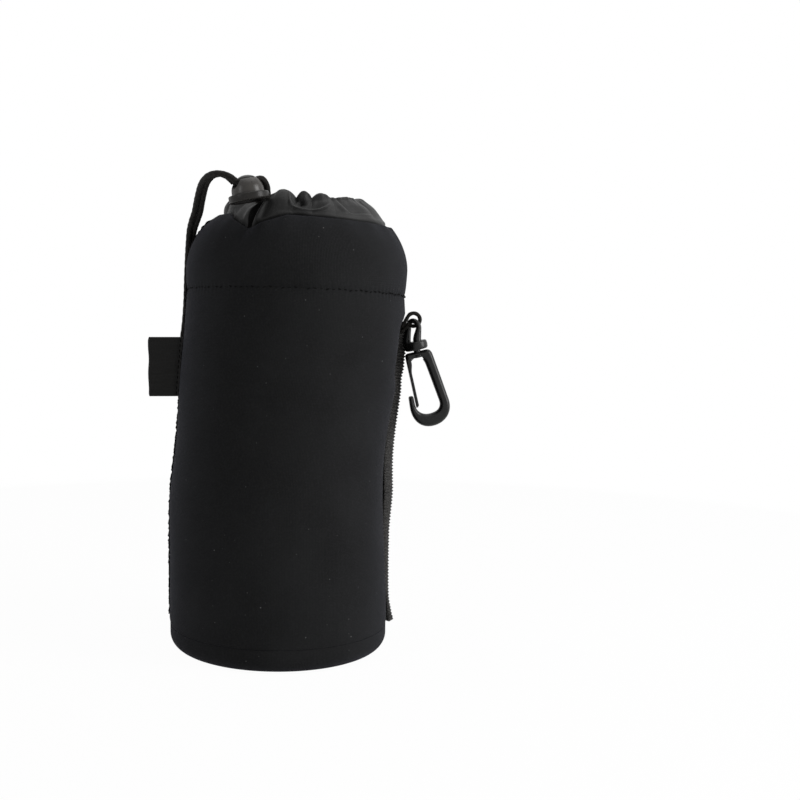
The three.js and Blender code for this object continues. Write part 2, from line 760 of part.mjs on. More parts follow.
function hookGate() {
  const root = 1.7 * gateThickness;
  const outer = [];
  const inner = [];
  const rows = [[gateTip, 0.7], [gateTip - 0.8, 1], [gateTip - 8, 1], [gateTop + 5, 1.05], [gateTop, root]];
  for (const [down, thickness] of rows) {
    const near = (x) => new THREE.Vector3(x, -gateDepth / 2, -down);
    const far = (x) => new THREE.Vector3(x, gateDepth / 2, -down);
    const left = gateFace;
    const right = gateFace + gateThickness * thickness;
    outer.push([near(left), near(right)]);
    inner.push([far(left), far(right)]);
  }
  return slab(outer, inner);
}

// Assembly

addPiece('base_cup', baseCup(), finish(0x1c1c1d, 0.9));
addPiece('body_wall', ringSolid(wallSection, turnSteps), finish(0x1d1d1f, 0.9));
addPiece('gathered_collar', gatheredCollar(), finish(0x343434, 0.5));
addPiece('draw_cord', drawCord(cordRadius), finish(0x2b2a26, 0.8));
addPiece('draw_cord_tail', drawCordTail(), finish(0x2b2a26, 0.8));
addPiece('lock_barrel', lockBarrel(), finish(0x4a4746, 0.35), lock);
addPiece('lock_plunger', lockPlunger(), finish(0x45423f, 0.4), lock);
addPiece('lock_spring', lockSpring(), finish(0xb4b4b4, 0.3, 1), lock);
addPiece('side_label', sideLabel(), finish(0x1e1c1d, 0.45));
addPiece('strap_anchor', strapAnchor(), finish(0x35342f, 0.8));
addPiece('strap_flap', strapFlap(), finish(0x35342f, 0.8));
addPiece('strap_loop_tape', tapePatch(loopTapeInside), finish(0x1f1f20, 1));
addPiece('strap_hook_tape', tapePatch(hookTapeInside), finish(0x262627, 0.7));
addPiece('hook_loop', hookLoop(), finish(0x2b2a26, 0.8));
addPiece('swivel_eye', swivelEye(), finish(0x2d2d2e, 0.35), hook);
addPiece('hook_body', hookBody(), finish(0x2d2d2e, 0.35), hook);
addPiece('hook_gate', hookGate(), finish(0x2d2d2e, 0.35), hook);

export default pouch;
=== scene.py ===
import math

import bpy
import numpy as np
from mathutils import Matrix, Vector


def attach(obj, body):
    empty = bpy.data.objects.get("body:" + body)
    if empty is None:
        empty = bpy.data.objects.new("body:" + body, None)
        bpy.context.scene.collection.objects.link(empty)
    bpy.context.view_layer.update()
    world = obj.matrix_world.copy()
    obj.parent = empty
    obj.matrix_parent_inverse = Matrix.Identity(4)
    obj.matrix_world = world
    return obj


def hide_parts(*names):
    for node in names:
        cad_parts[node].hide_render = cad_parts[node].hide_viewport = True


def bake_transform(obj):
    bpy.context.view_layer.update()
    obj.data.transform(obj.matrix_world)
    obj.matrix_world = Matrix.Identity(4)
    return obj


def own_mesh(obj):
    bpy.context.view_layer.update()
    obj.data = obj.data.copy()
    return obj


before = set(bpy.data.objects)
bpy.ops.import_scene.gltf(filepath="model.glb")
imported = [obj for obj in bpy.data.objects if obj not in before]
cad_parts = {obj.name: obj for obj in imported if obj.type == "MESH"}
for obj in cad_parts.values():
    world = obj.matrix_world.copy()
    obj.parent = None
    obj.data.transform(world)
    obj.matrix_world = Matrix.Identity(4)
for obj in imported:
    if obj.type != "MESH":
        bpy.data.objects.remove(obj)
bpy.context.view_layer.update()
scene = bpy.context.scene
mm = 0.001
fullTurn = 2 * math.pi
random = np.random.default_rng(11)

# camera, placed from the photo's framing

cameraSetup = {"place": (-0.0008, -0.4928, 0.1461), "pitch": 4.83, "lens": 52.62, "shift": 0.155}


def placeCamera(setup):
    data = bpy.data.cameras.new("photoCamera")
    data.lens = setup["lens"]
    data.shift_x = setup["shift"]  # the photo shows the pouch left of its middle
    data.clip_start = 0.01
    camera = bpy.data.objects.new("photoCamera", data)
    scene.collection.objects.link(camera)
    camera.location = setup["place"]
    camera.rotation_euler = (math.radians(90 - setup["pitch"]), 0, 0)
    scene.camera = camera


placeCamera(cameraSetup)
print("stage: camera")

# node groups that several finishes share


def newGroup(name, inputs, outputs, vectors=("Vector",)):
    tree = bpy.data.node_groups.new(name, "ShaderNodeTree")
    for label in vectors:
        tree.interface.new_socket(name=label, in_out="INPUT", socket_type="NodeSocketVector")
    for way, labels in (("INPUT", inputs), ("OUTPUT", outputs)):
        for label in labels:
            tree.interface.new_socket(name=label, in_out=way, socket_type="NodeSocketFloat")
    return tree, tree.nodes.new("NodeGroupInput"), tree.nodes.new("NodeGroupOutput")


def plug(tree, source, target):
    if hasattr(source, "is_output"):
        tree.links.new(source, target)
    else:
        target.default_value = source


def mathNode(tree, operation, *values):
    node = tree.nodes.new("ShaderNodeMath")
    node.operation = operation
    for index, value in enumerate(values):
        plug(tree, value, node.inputs[index])
    return node.outputs[0]


def vectorNode(tree, operation, *values):
    node = tree.nodes.new("ShaderNodeVectorMath")
    node.operation = operation
    for index, value in enumerate(values):
        plug(tree, value, node.inputs[index])
    return node


def splitNode(tree, vector):
    node = tree.nodes.new("ShaderNodeSeparateXYZ")
    plug(tree, vector, node.inputs[0])
    return node.outputs


def rampNode(tree, value, low, high):
    node = tree.nodes.new("ShaderNodeMapRange")
    node.interpolation_type = "SMOOTHSTEP"
    plug(tree, value, node.inputs["Value"])
    plug(tree, low, node.inputs["From Min"])
    plug(tree, high, node.inputs["From Max"])
    return node.outputs["Result"]


def noiseNode(tree, vector, scale, detail):
    node = tree.nodes.new("ShaderNodeTexNoise")
    plug(tree, vector, node.inputs["Vector"])
    plug(tree, scale, node.inputs["Scale"])
    node.inputs["Detail"].default_value = detail
    return node.outputs["Fac"]


def mixColour(tree, share, first, second):
    node = tree.nodes.new("ShaderNodeMix")
    node.data_type = "RGBA"
    plug(tree, share, node.inputs["Factor"])
    plug(tree, first, node.inputs["A"])
    plug(tree, second, node.inputs["B"])
    return node.outputs["Result"]


def buildKnit():
    tree, start, end = newGroup("knitFace", ["Loop"], ["Height", "Shade"])
    split = splitNode(tree, start.outputs["Vector"])
    across, along = (mathNode(tree, "DIVIDE", split[axis], start.outputs["Loop"]) for axis in range(2))
    wale = mathNode(tree, "ABSOLUTE", mathNode(tree, "SINE", mathNode(tree, "MULTIPLY", across, math.pi)))
    slant = mathNode(tree, "MULTIPLY_ADD", wale, 0.5, along)
    course = mathNode(tree, "SINE", mathNode(tree, "MULTIPLY", slant, fullTurn))
    loops = mathNode(tree, "MULTIPLY_ADD", course, 0.25, wale)
    fuzz = noiseNode(tree, start.outputs["Vector"], 2.3, 4.0)
    plug(tree, mathNode(tree, "MULTIPLY_ADD", fuzz, 1.1, loops), end.inputs["Height"])
    shade = mathNode(tree, "MULTIPLY_ADD", fuzz, 0.9, loops)
    plug(tree, rampNode(tree, shade, 0.2, 1.9), end.inputs["Shade"])
    return tree


def buildWeave():
    tree, start, end = newGroup("wovenFace", ["Across", "Along"], ["Height", "Shade"])
    split = splitNode(tree, start.outputs["Vector"])
    waves = []
    for axis, pitch in enumerate(("Across", "Along")):
        turns = mathNode(tree, "DIVIDE", split[axis], start.outputs[pitch])
        waves.append(mathNode(tree, "SINE", mathNode(tree, "MULTIPLY", turns, math.pi)))
    slub = noiseNode(tree, start.outputs["Vector"], 0.9, 2.0)
    height = mathNode(tree, "MULTIPLY_ADD", mathNode(tree, "MULTIPLY", *waves), 0.5, slub)
    plug(tree, height, end.inputs["Height"])
    plug(tree, rampNode(tree, height, 0.0, 1.0), end.inputs["Shade"])
    return tree


def buildFibre():
    tree, start, end = newGroup("fibreStreaks", ["Scale"], ["Height", "Shade"], ("Vector", "Stretch"))
    pull = vectorNode(tree, "MULTIPLY", start.outputs["Vector"], start.outputs["Stretch"])
    streak = noiseNode(tree, pull.outputs[0], start.outputs["Scale"], 4.0)
    plug(tree, streak, end.inputs["Height"])
    plug(tree, rampNode(tree, streak, 0.3, 0.7), end.inputs["Shade"])
    return tree


def buildLint():
    tree, start, end = newGroup("lintSpecks", ["Spacing", "Size"], ["Mask"])
    cells = tree.nodes.new("ShaderNodeTexVoronoi")
    plug(tree, start.outputs["Vector"], cells.inputs["Vector"])
    plug(tree, mathNode(tree, "DIVIDE", 1.0, start.outputs["Spacing"]), cells.inputs["Scale"])
    near = mathNode(tree, "MULTIPLY", cells.outputs["Distance"], start.outputs["Spacing"])
    speck = mathNode(tree, "SUBTRACT", 1.0, rampNode(tree, near, 0.0, start.outputs["Size"]))
    tint = tree.nodes.new("ShaderNodeSeparateColor")
    plug(tree, cells.outputs["Color"], tint.inputs[0])
    chosen = rampNode(tree, tint.outputs[0], 0.45, 1.0)  # only some cells have a speck
    plug(tree, mathNode(tree, "MULTIPLY", speck, chosen), end.inputs["Mask"])
    return tree


def buildMoulded():
    tree, start, end = newGroup("mouldedSkin", ["Edge"], ["Height", "Rough", "Wear"])
    smear = noiseNode(tree, start.outputs["Vector"], 0.25, 3.0)
    plug(tree, noiseNode(tree, start.outputs["Vector"], 2.2, 4.0), end.inputs["Height"])
    plug(tree, mathNode(tree, "MULTIPLY_ADD", smear, 0.22, 0.2), end.inputs["Rough"])
    edge = rampNode(tree, start.outputs["Edge"], 0.52, 0.62)
    plug(tree, mathNode(tree, "MULTIPLY", edge, rampNode(tree, smear, 0.35, 0.65)), end.inputs["Wear"])
    return tree


knitFace, wovenFace, fibreStreaks, lintSpecks, mouldedSkin = (
    buildKnit(), buildWeave(), buildFibre(), buildLint(), buildMoulded())
uvName = "lengthMm"  # every piece is unwrapped in millimetres


class Finish:
    def __init__(self, name, surface):
        self.material = bpy.data.materials.new(name)
        self.material.use_nodes = True
        self.tree = self.material.node_tree
        self.shader = self.tree.nodes["Principled BSDF"]
        for label, value in surface.items():
            self.shader.inputs[label].default_value = value
        self.uv = self.tree.nodes.new("ShaderNodeUVMap")
        self.uv.uv_map = uvName

    def place(self, group, settings, vector=None):
        node = self.tree.nodes.new("ShaderNodeGroup")
        node.node_tree = group
        plug(self.tree, vector or self.uv.outputs[0], node.inputs["Vector"])
        for label, value in settings.items():
            plug(self.tree, value, node.inputs[label])
        return node.outputs

    def objectMm(self):
        point = self.tree.nodes.new("ShaderNodeTexCoord")
        scale = vectorNode(self.tree, "SCALE", point.outputs["Object"])
        scale.inputs["Scale"].default_value = 1 / mm
        return scale.outputs[0]

    def cloud(self, vector, scale, detail, low, high):
        return rampNode(self.tree, noiseNode(self.tree, vector, scale, detail), low, high)

    def mix(self, share, first, second):
        return mixColour(self.tree, share, first, second)

    # a mask lays part of another colour over this one
    def cover(self, colour, mask, share, over):
        return self.mix(mathNode(self.tree, "MULTIPLY", mask, share), colour, over)

    def paint(self, colour):
        plug(self.tree, colour, self.shader.inputs["Base Color"])

    def bump(self, height, strength, distance):
        node = self.tree.nodes.new("ShaderNodeBump")
        node.inputs["Strength"].default_value = strength
        node.inputs["Distance"].default_value = distance * mm
        plug(self.tree, height, node.inputs["Height"])
        plug(self.tree, node.outputs[0], self.shader.inputs["Normal"])


def grey(value, warm=0.0):
    return (value * (1 + warm), value, value * (1 - warm), 1)


neopreneLook = {
    "surface": {"Roughness": 0.9, "Specular IOR Level": 0.06, "Sheen Weight": 0.05, "Sheen Roughness": 0.45,
                "Sheen Tint": (0.72, 0.74, 1.0, 1)},
    "dark": grey(0.0088, -0.02), "light": grey(0.0135, -0.03), "loop": 0.62, "loopTone": (0.35, grey(0.02)),
    "mottle": (0.3, grey(0.024, -0.02)), "lint": grey(0.16), "bump": (0.35, 0.22),
    "specks": [(0.55, {"Spacing": 4.1, "Size": 0.36}), (1.0, {"Spacing": 6.0, "Size": 0.4})],
}


def neopreneFinish(name, look):
    finish = Finish(name, look["surface"])
    knit = finish.place(knitFace, {"Loop": look["loop"]})
    where = finish.objectMm()
    colour = finish.mix(finish.cloud(where, 0.035, 4.0, 0.3, 0.7), look["dark"], look["light"])
    colour = finish.cover(colour, knit["Shade"], *look["loopTone"])
    colour = finish.cover(colour, finish.cloud(where, 1.4, 3.0, 0.4, 0.75), *look["mottle"])
    for share, size in look["specks"]:
        colour = finish.cover(colour, finish.place(lintSpecks, size, where)["Mask"], share, look["lint"])
    finish.paint(colour)
    finish.bump(knit["Height"], *look["bump"])
    return finish.material


# woven cloths: pitch of the threads, their share in the shade, scale and stretch of the streaks
nylonLook = {
    "surface": {"Roughness": 0.5, "Specular IOR Level": 0.13, "Sheen Weight": 0.02},
    "threads": {"Across": 0.36, "Along": 0.36}, "threadShare": 0.4,
    "streaks": {"Scale": 0.16, "Stretch": (1.0, 0.45, 1.0)}, "streakHeight": 3.0,
    "dark": grey(0.017), "light": grey(0.032), "bump": (0.3, 0.16),
    "specks": [(0.5, {"Spacing": 11.0, "Size": 0.3})], "lint": grey(0.2),
}
webbingLook = {
    "surface": {"Roughness": 0.75, "Specular IOR Level": 0.12, "Sheen Weight": 0.02},
    "threads": {"Across": 0.75, "Along": 0.7}, "threadShare": 0.6,
    "streaks": {"Scale": 1.1, "Stretch": (1.0, 0.3, 1.0)}, "streakHeight": 1.0,
    "dark": grey(0.012, 0.02), "light": grey(0.078, 0.03), "bump": (0.5, 0.2), "specks": [],
}
satinLook = {
    "surface": {"Roughness": 0.45, "Specular IOR Level": 0.09},
    "threads": {"Across": 0.3, "Along": 1.6}, "threadShare": 0.5,
    "streaks": {"Scale": 0.7, "Stretch": (0.2, 2.0, 1.0)}, "streakHeight": 0.0,
    "dark": grey(0.0095, 0.03), "light": grey(0.0165, 0.02), "bump": (0.25, 0.12), "specks": [],
}


def wovenFinish(name, look):
    finish = Finish(name, look["surface"])
    weave, streak = finish.place(wovenFace, look["threads"]), finish.place(fibreStreaks, look["streaks"])
    faint = mathNode(finish.tree, "MULTIPLY", streak["Shade"], 1 - look["threadShare"])
    shade = mathNode(finish.tree, "MULTIPLY_ADD", weave["Shade"], look["threadShare"], faint)
    colour = finish.mix(shade, look["dark"], look["light"])
    for share, size in look["specks"]:
        mask = finish.place(lintSpecks, size, finish.objectMm())["Mask"]
        colour = finish.cover(colour, mask, share, look["lint"])
    finish.paint(colour)
    height = mathNode(finish.tree, "MULTIPLY_ADD", streak["Height"], look["streakHeight"], weave["Height"])
    finish.bump(height, *look["bump"])
    return finish.material


cordLook = {
    "surface": {"Roughness": 0.72, "Specular IOR Level": 0.1, "Sheen Weight": 0.04},
    "streaks": {"Scale": 1.4, "Stretch": (1.0, 0.5, 1.0)},
    "dark": grey(0.005, 0.06), "light": grey(0.019, 0.1), "bump": (0.5, 0.15),
}
threadLook = {
    **cordLook, "surface": {"Roughness": 0.72, "Specular IOR Level": 0.02, "Sheen Weight": 0.0},
    "dark": grey(0.0035), "light": grey(0.009),
}
loopPileLook = {
    "surface": {"Roughness": 0.85, "Specular IOR Level": 0.15, "Sheen Weight": 0.2},
    "streaks": {"Scale": 1.9, "Stretch": (1.0, 1.0, 1.0)},
    "dark": grey(0.006), "light": grey(0.028), "bump": (0.7, 0.3),
}
hookPileLook = {**loopPileLook, "dark": grey(0.010), "light": grey(0.040)}
steelLook = {
    "surface": {"Metallic": 1.0, "Roughness": 0.28}, "streaks": {"Scale": 2.0, "Stretch": (2.0, 0.1, 1.0)},
    "dark": grey(0.42), "light": grey(0.6), "bump": (0.2, 0.02),
}


def fibreFinish(name, look):
    finish = Finish(name, look["surface"])
    fibre = finish.place(fibreStreaks, look["streaks"])
    finish.paint(finish.mix(fibre["Shade"], look["dark"], look["light"]))
    finish.bump(fibre["Height"], *look["bump"])
    return finish.material


lockLook = {"dark": grey(0.029, 0.1), "light": grey(0.038, 0.1), "worn": grey(0.07, 0.04), "specular": 0.3}
buttonLook = {"dark": grey(0.013, 0.08), "light": grey(0.018, 0.08),
              "worn": grey(0.05, 0.04), "specular": 0.16}
hookLook = {"dark": grey(0.0072, -0.01), "light": grey(0.0115, -0.01), "worn": grey(0.06), "specular": 0.23}


def plasticFinish(name, look):
    finish = Finish(name, {"Specular IOR Level": look["specular"]})
    where = finish.objectMm()
    edge = finish.tree.nodes.new("ShaderNodeNewGeometry")
    skin = finish.place(mouldedSkin, {"Edge": edge.outputs["Pointiness"]}, where)
    colour = finish.mix(finish.cloud(where, 0.3, 3.0, 0.3, 0.7), look["dark"], look["light"])
    finish.paint(finish.cover(colour, skin["Wear"], 0.5, look["worn"]))
    plug(finish.tree, skin["Rough"], finish.shader.inputs["Roughness"])
    finish.bump(skin["Height"], 0.12, 0.05)
    return finish.material


neoprene = neopreneFinish("neopreneJersey", neopreneLook)
nylon, webbing, satin = (wovenFinish(name, look) for name, look in (
    ("nylonTaffeta", nylonLook), ("strapWebbing", webbingLook), ("labelSatin", satinLook)))
braid, thread, loopPile, hookPile, springSteel = (fibreFinish(name, look) for name, look in (
    ("cordBraid", cordLook), ("sewingThread", threadLook), ("loopPile", loopPileLook),
    ("hookPile", hookPileLook), ("springSteel", steelLook)))
lockPlastic, buttonPlastic, hookPlastic = (plasticFinish(name, look) for name, look in (
    ("lockMoulding", lockLook), ("buttonMoulding", buttonLook), ("hookMoulding", hookLook)))
print("stage: finishes")

# meshes from grids of points, in millimetres


# length along a line of points, at each of them
def runLength(line):
    return np.concatenate([[0], np.cumsum(np.linalg.norm(np.diff(line, axis=0), axis=1))])


def finishMesh(name, mesh, finish):
    mesh.polygons.foreach_set("use_smooth", [True] * len(mesh.polygons))
    mesh.materials.append(finish)
    mesh.validate()
    mesh.update()
    made = bpy.data.objects.new(name, mesh)
    scene.collection.objects.link(made)
    return made


def gridPiece(name, points, finish, wrapColumns=False, wrapRows=False, caps=False):
    rows, columns = points.shape[:2]
    down = np.arange(rows if wrapRows else rows - 1)
    over = np.arange(columns if wrapColumns else columns - 1)
    row, column = np.meshgrid(down, over, indexing="ij")
    nextRow, nextColumn = (row + 1) % rows, (column + 1) % columns
    corners = [(row, column), (row, nextColumn), (nextRow, nextColumn), (nextRow, column)]
    faces = np.stack([r * columns + c for r, c in corners], -1).reshape(-1, 4).tolist()
    if caps:
        faces.append(list(range(columns))[::-1])
        faces.append([(rows - 1) * columns + c for c in range(columns)])
    mesh = bpy.data.meshes.new(name)
    mesh.from_pydata((points.reshape(-1, 3) * mm).tolist(), [], faces)
    # unwrapped by the lengths along the middle row and the middle column
    middle, side = points[rows // 2], points[:, columns // 2]
    across, along = (runLength(np.vstack([line, line[:1]])) for line in (middle, side))
    layer = mesh.uv_layers.new(name=uvName)
    flat = np.zeros((len(mesh.loops), 2))
    steps = [(0, 0), (0, 1), (1, 1), (1, 0)]
    quads = np.stack([np.stack([across[column + c], along[row + r]], -1) for r, c in steps], 2)
    flat[:row.size * 4] = quads.reshape(-1, 2)
    layer.data.foreach_set("uv", flat.ravel())
    return finishMesh(name, mesh, finish)


# a tube or block, closed round and capped at both ends
def closedPiece(name, points, finish):
    return gridPiece(name, points, finish, wrapColumns=True, caps=True)


def settle(piece, body, slotName, *nodes):
    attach(piece, body)
    if nodes:
        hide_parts(*nodes)
    return piece


def smooth(low, high, value):
    share = np.clip((value - low) / (high - low), 0, 1)
    return share * share * (3 - 2 * share)


# rises over the first pair of values and falls over the second pair
def between(rise, fall, value):
    return smooth(*rise, value) * (1 - smooth(*fall, value))


def bell(value, width):
    return np.exp(-(value / width) ** 2)


def turnBetween(first, second):
    return np.abs((first - second + math.pi) % fullTurn - math.pi)


def around(angle, radius, z, centre):
    return np.stack(np.broadcast_arrays(centre + radius * np.cos(angle), radius * np.sin(angle), z), -1)


def curveBetween(first, second, leave, arrive, share):
    return (first + leave * share + (3 * (second - first) - 2 * leave - arrive) * share ** 2
            + (2 * (first - second) + leave + arrive) * share ** 3)


# a smooth line through chosen points, then points at even steps along it
def throughPoints(points, step):
    chosen = np.array(points, float)
    chosen = np.vstack([2 * chosen[0] - chosen[1], chosen, 2 * chosen[-1] - chosen[-2]])
    share = np.linspace(0, 1, 24, endpoint=False)[:, None]
    spans = []
    for index in range(1, len(chosen) - 2):
        a, b, c, d = chosen[index - 1:index + 3]
        before, here, after = (max(np.linalg.norm(gap), 1e-4) ** 0.5 for gap in (b - a, c - b, d - c))
        leave = ((b - a) / before - (c - a) / (before + here) + (c - b) / here) * here
        arrive = ((c - b) / here - (d - b) / (here + after) + (d - c) / after) * here
        spans.append(curveBetween(b, c, leave, arrive, share))
    line = np.vstack(spans + [chosen[-2:-1]])
    length = runLength(line)
    even = np.linspace(0, length[-1], max(2, round(length[-1] / step)) + 1)
    return np.stack([np.interp(even, length, line[:, axis]) for axis in range(3)], 1), even


# two directions across a line, which turn no more than the line does
def framesAlong(line):
    tangent = np.gradient(line, axis=0)
    tangent /= np.linalg.norm(tangent, axis=1, keepdims=True)
    normal = np.zeros_like(tangent)
    side = np.cross(tangent[0], (0.31, 0.17, 0.93))
    for index, direction in enumerate(tangent):
        side = side - direction * (side @ direction)
        side = side / np.linalg.norm(side)
        normal[index] = side
    return normal, np.cross(tangent, normal)


def tubeGrid(line, radius, sides):
    normal, other = framesAlong(line)
    angle = np.arange(sides) / sides * fullTurn
    ring = normal[:, None] * np.cos(angle)[None, :, None] + other[:, None] * np.sin(angle)[None, :, None]
    return line[:, None] + ring * np.broadcast_to(radius, (len(line), sides))[..., None]


def plainTube(name, points, radius, sides, step, finish):
    line = throughPoints(points, step)[0]
    return closedPiece(name, tubeGrid(line, radius, sides), finish)


# round cord with the crossing strands of its braid
def braidedCord(name, points, diameter, step=0.32, sides=20, plait=3.4):
    line, length = throughPoints(points, step)
    angle = np.arange(sides) / sides * fullTurn
    right = 4 * angle[None] + fullTurn * length[:, None] / plait
    left = 4 * angle[None] - fullTurn * length[:, None] / plait
    over, under = np.cos(right), np.cos(left)
    strands = np.maximum(over * (0.8 + 0.2 * under), under * (0.8 - 0.2 * over))
    radius = diameter / 2 * (0.96 + 0.075 * strands)
    made = closedPiece(name, tubeGrid(line, radius, sides), braid)
    return made, line, length[-1]


# short threads that lie on a surface, each a small rounded bead
def stitchRow(name, centres, directions, normals, length, radius, finish=thread):
    ways = [np.array(way, float) for way in (directions, normals)]
    directions, normals = (np.broadcast_to(way, centres.shape) for way in ways)
    rings, sides = 5, 6
    slope = np.linspace(0.12, math.pi - 0.12, rings)
    angle = np.arange(sides) / sides * fullTurn
    along = -np.cos(slope)[:, None] * length / 2 * np.ones(sides)
    out = (np.sin(slope) ** 0.6)[:, None] * radius
    side, up = out * np.cos(angle), out * np.sin(angle)
    other = np.cross(normals, directions)
    points = (centres[:, None, None] + directions[:, None, None] * along[None, ..., None]
              + other[:, None, None] * side[None, ..., None] + normals[:, None, None] * up[None, ..., None])
    faces = []
    for base in range(0, len(centres) * rings * sides, rings * sides):
        for ring in range(rings - 1):
            for step in range(sides):
                a, b = base + ring * sides + step, base + ring * sides + (step + 1) % sides
                faces.append((a, b, b + sides, a + sides))
        faces.append(tuple(base + step for step in range(sides))[::-1])
        faces.append(tuple(base + (rings - 1) * sides + step for step in range(sides)))
    mesh = bpy.data.meshes.new(name)
    mesh.from_pydata((points.reshape(-1, 3) * mm).tolist(), [], faces)
    layer = mesh.uv_layers.new(name=uvName)
    corner = np.zeros(len(mesh.loops), int)
    mesh.loops.foreach_get("vertex_index", corner)
    bead = np.stack([np.broadcast_to(angle * radius, (rings, sides)), along], -1).reshape(-1, 2)
    layer.data.foreach_set("uv", np.tile(bead, (len(centres), 1))[corner].ravel())
    return finishMesh(name, mesh, finish)


def cutBy(piece, cutters, operation="DIFFERENCE"):
    for cutter in cutters:
        change = piece.modifiers.new("cut", "BOOLEAN")
        change.operation, change.object, change.solver = operation, cutter, "EXACT"
    depsgraph = bpy.context.evaluated_depsgraph_get()
    mesh = bpy.data.meshes.new_from_object(piece.evaluated_get(depsgraph))
    piece.modifiers.clear()
    piece.data = mesh
    for cutter in cutters:
        bpy.data.objects.remove(cutter)
    mesh.polygons.foreach_set("use_smooth", [True] * len(mesh.polygons))
    mesh.set_sharp_from_angle(angle=math.radians(38))
    return piece


def moved(points, matrix):
    turn, shift = np.array(matrix.to_3x3()), np.array(matrix.translation)
    return points @ turn.T + shift


def latheGrid(profile, segments, matrix=None, centre=(0, 0)):
    outline = np.array(profile, float)
    angle = np.arange(segments) / segments * fullTurn
    points = around(angle[None], outline[:, :1], outline[:, 1:], 0) + np.array((*centre, 0))
    return moved(points, matrix) if matrix else points


def arc(centre, radius, start, stop, steps):
    angle = np.radians(np.linspace(start, stop, steps))
    return [(centre[0] + radius * math.cos(a), centre[1] + radius * math.sin(a)) for a in angle]


# the pouch's soft body, with the main sizes of the solids

body = {
    "radius": 46, "wall": 4, "seam": 10, "seamGap": 0.03, "seamEdge": 0.24, "fillet": 6, "insideFillet": 3,
    "shoulderStart": 158, "shoulderInset": 24, "shoulderRise": 26, "rimRoll": 0.9,
    "lean": 8, "leanStart": 60, "leanEnd": 155, "waist": (1.5, 88, 22),
    "rim": math.radians(54), "rimTilt": math.radians(11),
    "notch": math.radians(-122), "notchHalf": math.radians(25), "notchDrop": math.radians(22),
    "notchDent": 2.2,
    "columns": 460, "hemLine": 149.3, "hemTilt": 2.5, "hemTurn": math.radians(130), "hemStitches": 116,
    "baseLine": 11.9, "baseStitches": 96, "seamSpan": (13, 180.5), "seamStep": 1.05, "seamWidth": 3.0,
    # where the strap presses the wall in and where its sewn top draws it in: depth, angle, width, heights
    "press": (1.2, -0.1, 0.38), "pressAt": (60, 22), "tuck": (2.6, 0.0, 0.3),
    "tuckAt": ((109, 119), (134, 142)),
}


def leanAt(z):
    return body["lean"] * smooth(body["leanStart"], body["leanEnd"], z)


def radiusAt(z):
    depth, height, span = body["waist"]
    return body["radius"] - depth * bell(z - height, span)


def notchAt(angle):
    return np.maximum(0, 1 - turnBetween(angle, body["notch"]) / body["notchHalf"])


def rimAt(angle):
    return body["rim"] - body["rimTilt"] * np.cos(angle) - body["notchDrop"] * notchAt(angle)


def hemHeight(angle):
    return body["hemLine"] + body["hemTilt"] * np.cos(angle + body["hemTurn"])


def onWall(angle, z, depth):
    return around(angle, radiusAt(z) - depth, z, leanAt(z))


def onShoulder(angle, climb, depth):
    dent = body["notchDent"] * notchAt(angle) * (climb / rimAt(angle)) ** 2
    inset = body["shoulderInset"]
    radius = body["radius"] - inset + (inset - depth) * np.cos(climb) - dent
    height = body["shoulderStart"] + (body["shoulderRise"] - depth) * np.sin(climb)
    return around(angle, radius, height, body["lean"])


# slow swells of the foam, the same each run
swellLengths = (9, 12, 15, 19, 24, 30)
swellWaves = [(random.normal(size=3) / length, random.uniform(0, fullTurn)) for length in swellLengths]


def swell(points):
    return sum(0.075 * np.sin(points @ wave + start) for wave, start in swellWaves)


def bodyShift(angle, z, points):
    offset = z - body["hemLine"]
    seamSide = turnBetween(angle, math.pi) * body["radius"]
    rightSide = np.maximum(0, np.cos(angle)) ** 2
    groove = 0.38 * bell(offset, 0.9) + (0.3 + 0.6 * rightSide) * bell(offset, 6)
    pucker = 0.08 * np.cos(body["hemStitches"] * angle) * bell(offset, 2.6)
    sideGroove = 0.6 * bell(seamSide, 0.7) - 0.25 * bell(seamSide, 3.5)
    hem = 0.18 * smooth(0, 4, offset)
    (pressDepth, pressAngle, pressWidth), (pressMiddle, pressSpan) = body["press"], body["pressAt"]
    press = pressDepth * bell(turnBetween(angle, pressAngle), pressWidth) * bell(z - pressMiddle, pressSpan)
    tuckDepth, tuckAngle, tuckWidth = body["tuck"]
    tuck = tuckDepth * bell(turnBetween(angle, tuckAngle), tuckWidth) * between(*body["tuckAt"], z)
    return swell(points) + hem - groove - pucker - sideGroove - press - tuck


def pushOut(points, angle, shift):
    points[..., 0] += shift * np.cos(angle)
    points[..., 1] += shift * np.sin(angle)
    return points


